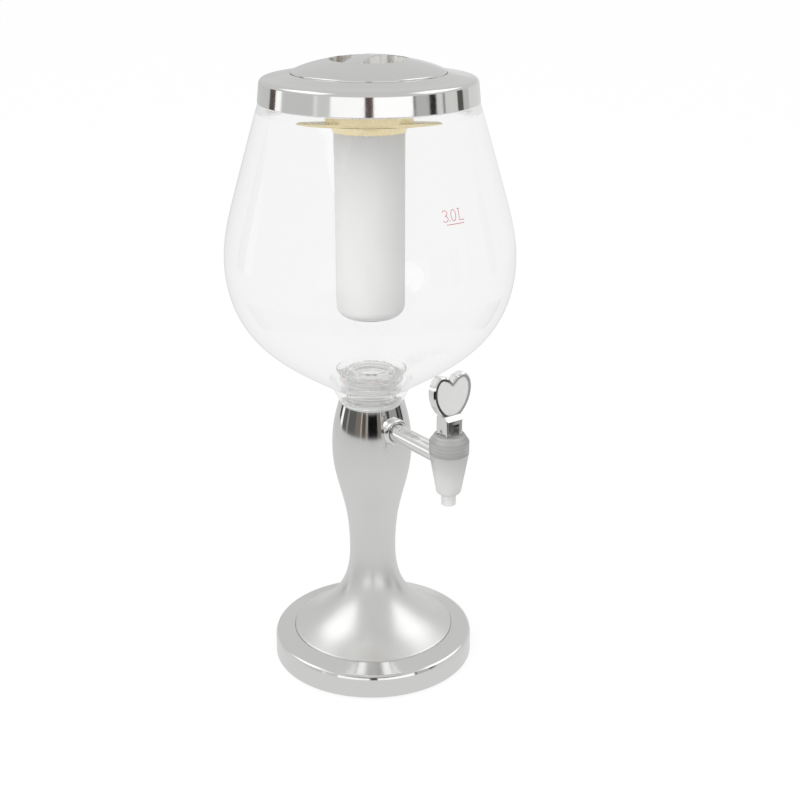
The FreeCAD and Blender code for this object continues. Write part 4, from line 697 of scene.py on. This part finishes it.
def make_ice_tube():
    """Frosted tube with a round closed bottom, turned from an outline that starts and ends on its axis."""
    return turned("ice_tube_skin", corners(ICE_TUBE, steps=16), closed=False, segments=TUBE_SEGMENTS)


def make_collar():
    """Flared collar round the tube's top, turned from a closed outline."""
    return turned("tube_collar_skin", loop(TUBE_COLLAR), segments=TUBE_SEGMENTS)


def make_tap_body():
    """Tapered body of the tap, turned about the tap's own upright axis."""
    return turned("tap_body_skin", loop(TAP_BODY, steps=8), at=(0.0, TAP_Y), segments=TAP_SEGMENTS)


def make_spout():
    """Short spout, turned about the tap's axis."""
    return turned("spout_skin", loop(TAP_SPOUT), at=(0.0, TAP_Y), segments=SMALL_SEGMENTS)


def make_bonnet():
    """Screw cap of the tap with its chamfer, turned about the tap's axis."""
    return turned("bonnet_skin", loop(TAP_BONNET), at=(0.0, TAP_Y), segments=TAP_SEGMENTS)


def make_rosette():
    """Domed ring against the stem, turned about the tap's level pipe."""
    return turned_on_pipe("rosette_skin", loop(TAP_ROSETTE, steps=12))


def make_pipe():
    """Pipe from the stem to the tap, turned about its own level axis."""
    return turned_on_pipe("pipe_skin", loop(TAP_PIPE))


def make_fill_mark():
    """Plain 3.0 L mark: flat strokes, bent onto the bowl at radius R(z): (R sin a, -R cos a, z)."""
    wall = through(BOWL_OUTLINE, per_span=12)
    size = MARK_HIGH - MARK_LOW
    middle = MARK_LOW + size / 2
    quarter = size / 4
    turns = np.linspace(0, 2 * math.pi, 33)

    def bow(z, rx, rz, a0, a1):
        a = np.linspace(a0 * DEG, a1 * DEG, 18)
        return np.c_[MARK_THREE_X + rx * np.cos(a), z + rz * np.sin(a)]

    three = np.concatenate([bow(middle + quarter, MARK_HALF_LETTER, quarter * 0.92, 150, -80),
                            bow(middle - quarter, MARK_LOWER_BOW, quarter * 0.98, 80, -150)])
    point = np.c_[MARK_POINT_X + MARK_POINT_R * np.cos(turns),
                  MARK_LOW + 0.4 + MARK_POINT_R * np.sin(turns)]
    zero = np.c_[MARK_ZERO_X + MARK_HALF_LETTER * np.cos(turns), middle + size / 2 * 0.97 * np.sin(turns)]
    letter = corners([(4.1, MARK_HIGH), (4.1, MARK_LOW + 0.1), (8.2, MARK_LOW + 0.1)])
    serif = np.array([(3.2, MARK_HIGH), (5.0, MARK_HIGH)])
    line = np.array([(-6.6, MARK_LOW - 1.9), (7.6, MARK_LOW - 1.9)])
    verts, faces = [], []
    for stroke in (three, zero, point, letter, serif, line):
        runs = [np.linspace(a, b, 6, endpoint=False) for a, b in zip(stroke[:-1], stroke[1:])]
        steps = np.concatenate(runs + [stroke[-1:]])
        side = np.gradient(steps, axis=0)
        side = np.c_[-side[:, 1], side[:, 0]] / (np.linalg.norm(side, axis=1)[:, None] + 1e-9)
        rail = np.stack([steps + side * MARK_WIDTH / 2, steps - side * MARK_WIDTH / 2], axis=1)
        radius = np.interp(rail[..., 1], wall[:, 1], wall[:, 0])
        angle = rail[..., 0] / radius
        first = sum(len(v) for v in verts)
        for lift in MARK_LIFTS:
            out = radius + lift
            shell = np.stack([out * np.sin(angle), -out * np.cos(angle), rail[..., 1]], axis=-1)
            verts.append(shell.reshape(-1, 3) * MM)
        n = len(steps)
        top = grid_faces(n, 2, False, False) + first
        ring = np.arange(n - 1)[:, None] * 2
        left = np.c_[ring, ring + 2, ring + 2 + 2 * n, ring + 2 * n] + first
        ends = np.array([[0, 1, 2 * n + 1, 2 * n], [2 * n - 2, 2 * n - 1, 4 * n - 1, 4 * n - 2]]) + first
        faces += [top, top + 2 * n, left, left + 1, ends]
    mark = add_mesh("fill_mark", np.concatenate(verts), np.concatenate(faces))
    dress(mark, MARK_RED)
    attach(mark, "root")


for node, finish in NODE_FINISH.items():
    dress(NODES[node], finish)

stand_in(make_stem(), "stem_shell", "root")
stand_in(make_base_ring(), "base_ring", "root")
stand_in(make_lid_ring(), "lid_shell", "lid")
stand_in(make_bowl(), "bowl", "root")
stand_in(make_ring_nut(), "bowl_ring_nut", "root")
stand_in(make_ice_tube(), "ice_tube", "tube")
stand_in(make_collar(), "tube_collar", "tube")
stand_in(make_tap_body(), "tap_body", "root")
stand_in(make_spout(), "tap_spout", "root")
stand_in(make_bonnet(), "tap_bonnet", "root")
stand_in(make_rosette(), "tap_rosette", "root")
stand_in(make_pipe(), "tap_shank", "root")
make_fill_mark()


# Studio: white floor, and a pale surround with soft boxes and dark strips for the plating


def azimuth_and_height(tree, vector):
    """Angle round the object, 0 towards the photograph's camera and + to its right, and height."""
    turn = tree.nodes.new("ShaderNodeVectorRotate")
    turn.rotation_type = "Z_AXIS"
    turn.inputs["Angle"].default_value = -VIEW_AZIMUTH
    tree.links.new(vector, turn.inputs["Vector"])
    x, y, z = apart(tree, turn.outputs["Vector"])
    return maths(tree, "ARCTAN2", x, maths(tree, "MULTIPLY", y, -1.0)), z


def strips(tree, angle, stops):
    """Colour ramp round the object: each stop is (degrees, red, green, blue), held to the next."""
    ramp = tree.nodes.new("ShaderNodeValToRGB")
    ramp.color_ramp.interpolation = "CONSTANT"
    elements = ramp.color_ramp.elements
    while len(elements) > 1:
        elements.remove(elements[-1])
    elements[0].position = 0.0
    elements[0].color = (*stops[0][1:], 1.0)
    for degrees, *colour in stops[1:]:
        step = elements.new((degrees + 180) / 360)
        step.color = (*colour, 1.0)
    tree.links.new(spread(tree, angle, -math.pi, math.pi, 0.0, 1.0), ramp.inputs["Fac"])
    return ramp.outputs["Color"]


# Strips seen in the plating: the stem's top, then the lid's band and all low reflections
CARD_STRIPS = [(-180, 0.62, 0.62, 0.62), (-100, 0.13, 0.13, 0.12), (-84, 0.30, 0.30, 0.29),
               (-76, 0.12, 0.12, 0.12), (-52, 0.20, 0.18, 0.16), (-35, 0.45, 0.45, 0.45),
               (-30, 0.13, 0.09, 0.06), (-19, 0.35, 0.35, 0.36), (-12, 0.006, 0.006, 0.005),
               (16, 0.22, 0.20, 0.18), (28, 0.55, 0.55, 0.54), (32, 0.20, 0.19, 0.18),
               (50, 0.07, 0.07, 0.07), (58, 0.36, 0.36, 0.35), (88, 0.04, 0.04, 0.04),
               (97, 0.15, 0.15, 0.15), (106, 0.04, 0.04, 0.04), (114, 0.62, 0.62, 0.62)]
LOW_STRIPS = [(-180, 0.62, 0.62, 0.62), (-121, 0.10, 0.08, 0.07), (-110, 1.2, 1.2, 1.2),
              (-101, 0.62, 0.62, 0.62), (-58, 0.85, 0.85, 0.85), (-54, 0.68, 0.68, 0.68),
              (-40, 1.2, 1.2, 1.2), (-4.5, 0.10, 0.07, 0.06), (3.2, 1.25, 1.25, 1.25),
              (45, 0.20, 0.20, 0.20), (47, 0.52, 0.52, 0.52), (63, 0.02, 0.02, 0.02),
              (71, 0.75, 0.75, 0.75), (80, 0.25, 0.25, 0.25), (82, 0.72, 0.72, 0.72),
              (101, 0.10, 0.10, 0.09), (110, 0.58, 0.58, 0.58), (121, 0.75, 0.75, 0.75)]


def make_world():
    """White for the camera and through clear pieces, a plain level for diffuse light, and the
    studio's pattern for reflections."""
    world = bpy.data.worlds.new("studio")
    bpy.context.scene.world = world
    world.use_nodes = True
    tree = world.node_tree
    background = tree.nodes["Background"]
    angle, height = azimuth_and_height(tree, tree.nodes.new("ShaderNodeTexCoord").outputs["Generated"])
    low_band = between(tree, height, LOW_BAND, LOW_BAND_SOFT)
    studio = mix_colour(tree, low_band, STUDIO_GREY, strips(tree, angle, LOW_STRIPS))
    sides = maths(tree, "ADD", between(tree, angle, SOFTBOX_LEFT, SOFTBOX_SIDE_SOFT),
                  between(tree, angle, SOFTBOX_RIGHT, SOFTBOX_SIDE_SOFT))
    box = maths(tree, "MULTIPLY", sides, between(tree, height, SOFTBOX_HEIGHT, SOFTBOX_TOP_SOFT))
    studio = mix_colour(tree, box, studio, SOFTBOX_WHITE)
    light = tree.nodes.new("ShaderNodeLightPath")
    colour = mix_colour(tree, light.outputs["Is Glossy Ray"], AMBIENT, studio)
    seen = maths(tree, "MAXIMUM", light.outputs["Is Camera Ray"], light.outputs["Is Transmission Ray"])
    white = spread(tree, light.outputs["Is Transmission Ray"], 0.0, 1.0, 1.0, THROUGH_CLEAR)
    tree.links.new(mix_colour(tree, seen, colour, white), background.inputs["Color"])
    background.inputs["Strength"].default_value = 1.0


def make_floor():
    """Round white floor; far from the object its reflection carries the studio's strips."""
    u = np.linspace(0, 2 * math.pi, FLOOR_SIDES, endpoint=False)
    rings = np.array(FLOOR_RINGS)[:, None]
    verts = np.stack([rings * np.sin(u), -rings * np.cos(u), 0 * rings * u], axis=-1).reshape(-1, 3)
    floor = add_mesh("floor", verts, grid_faces(len(rings), len(u), False, True)[:, ::-1])
    if floor.data.polygons[0].normal.z < 0:
        floor.data.flip_normals()
    finish = bpy.data.materials.new("floor_white")
    finish.use_nodes = True
    tree = finish.node_tree
    shader = tree.nodes["Principled BSDF"]
    shader.inputs["Roughness"].default_value = FLOOR_ROUGHNESS
    shader.inputs["Specular IOR Level"].default_value = 0.0
    shader.inputs["Base Color"].default_value = (FLOOR_COLOUR, FLOOR_COLOUR, FLOOR_COLOUR, 1.0)
    where = object_place(tree)
    angle, _ = azimuth_and_height(tree, where)
    length = tree.nodes.new("ShaderNodeVectorMath")
    length.operation = "LENGTH"
    tree.links.new(where, length.inputs[0])
    far = spread(tree, length.outputs["Value"], *FLOOR_STRIP_SPAN, 0.0, 1.0)
    near = spread(tree, length.outputs["Value"], *FLOOR_GREY_SPAN, FLOOR_GREY, STUDIO_GREY)
    mirrored_floor = glow(tree, mix_colour(tree, far, near, strips(tree, angle, LOW_STRIPS)))
    light = tree.nodes.new("ShaderNodeLightPath")
    by_camera, by_clear = light.outputs["Is Camera Ray"], light.outputs["Is Transmission Ray"]
    white = glow(tree, strength=spread(tree, by_clear, 0.0, 1.0, FLOOR_WHITE, THROUGH_CLEAR))
    seen = maths(tree, "MAXIMUM", maths(tree, "MULTIPLY", by_camera, FLOOR_FILL),
                 maths(tree, "MULTIPLY", by_clear, GLASS_FLOOR_FILL))
    mirrored = maths(tree, "SUBTRACT", light.outputs["Is Glossy Ray"], by_clear)
    lit = mix_shader(tree, seen, shader.outputs["BSDF"], white)
    lit = mix_shader(tree, mirrored, lit, mirrored_floor)
    tree.links.new(lit, tree.nodes["Material Output"].inputs["Surface"])
    dress(floor, finish)


def make_card(name, stops, low, high, start, end, soft):
    """Striped card that only near reflections see, on an arc in front of the stem: C(u, z) =
    (R sin u, -R cos u, z). Its lower and upper edges fade out."""
    u = np.linspace(start, end, CARD_POINTS) * DEG * CARD_SQUEEZE + VIEW_AZIMUTH
    z = np.array([low, high])[:, None]
    verts = np.stack([CARD_R * np.sin(u) + 0 * z, -CARD_R * np.cos(u) + 0 * z, z + 0 * u], axis=-1)
    card = add_mesh(name, verts.reshape(-1, 3), grid_faces(2, len(u), False, False))
    finish = bpy.data.materials.new(name + "_stripes")
    finish.use_nodes = True
    tree = finish.node_tree
    angle, height = azimuth_and_height(tree, object_place(tree))
    pattern = strips(tree, maths(tree, "DIVIDE", angle, CARD_SQUEEZE), stops)
    reach = tree.nodes.new("ShaderNodeLightPath").outputs["Ray Length"]
    near = spread(tree, reach, CARD_REACH - CARD_REACH_SOFT, CARD_REACH + CARD_REACH_SOFT, 1.0, 0.0)
    shown = maths(tree, "MULTIPLY", between(tree, height, (low + soft, high - soft), soft), near)
    clear = tree.nodes.new("ShaderNodeBsdfTransparent")
    lit = mix_shader(tree, shown, clear.outputs["BSDF"], glow(tree, pattern))
    tree.links.new(lit, tree.nodes["Material Output"].inputs["Surface"])
    dress(card, finish)
    card.visible_camera = False
    card.visible_diffuse = False
    card.visible_transmission = False
    card.visible_shadow = False


def make_lamp():
    """One broad soft lamp, up and to the camera's left; reflections take the studio instead."""
    light = bpy.data.lights.new("soft_lamp", "AREA")
    light.shape = "DISK"
    light.size = LAMP_SIZE
    light.energy = LAMP_POWER
    lamp = bpy.data.objects.new("soft_lamp", light)
    lamp.location = LAMP_AT
    aim = np.array(LAMP_AIM) - np.array(LAMP_AT)
    lamp.rotation_euler = (math.atan2(math.hypot(aim[0], aim[1]), -aim[2]), 0.0,
                           math.atan2(aim[0], -aim[1]) + math.pi)
    lamp.visible_glossy = False
    bpy.context.scene.collection.objects.link(lamp)


def make_camera():
    """The photograph's camera, which looks down at the object from the front left."""
    lens = bpy.data.cameras.new("photo_camera")
    lens.lens = CAMERA_LENS
    lens.sensor_width = CAMERA_SENSOR
    lens.clip_end = CAMERA_FAR
    camera = bpy.data.objects.new("photo_camera", lens)
    camera.location = CAMERA_AT
    camera.rotation_euler = (math.pi / 2 - CAMERA_PITCH, 0.0, -CAMERA_HEADING)
    bpy.context.scene.collection.objects.link(camera)
    bpy.context.scene.camera = camera


make_world()
make_floor()
make_card("stripe_card", CARD_STRIPS, **STEM_CARD)
make_card("shoulder_card", SHOULDER_STRIPS, **SHOULDER_CARD)
make_lamp()
make_camera()
bpy.context.scene.view_settings.view_transform = "Standard"
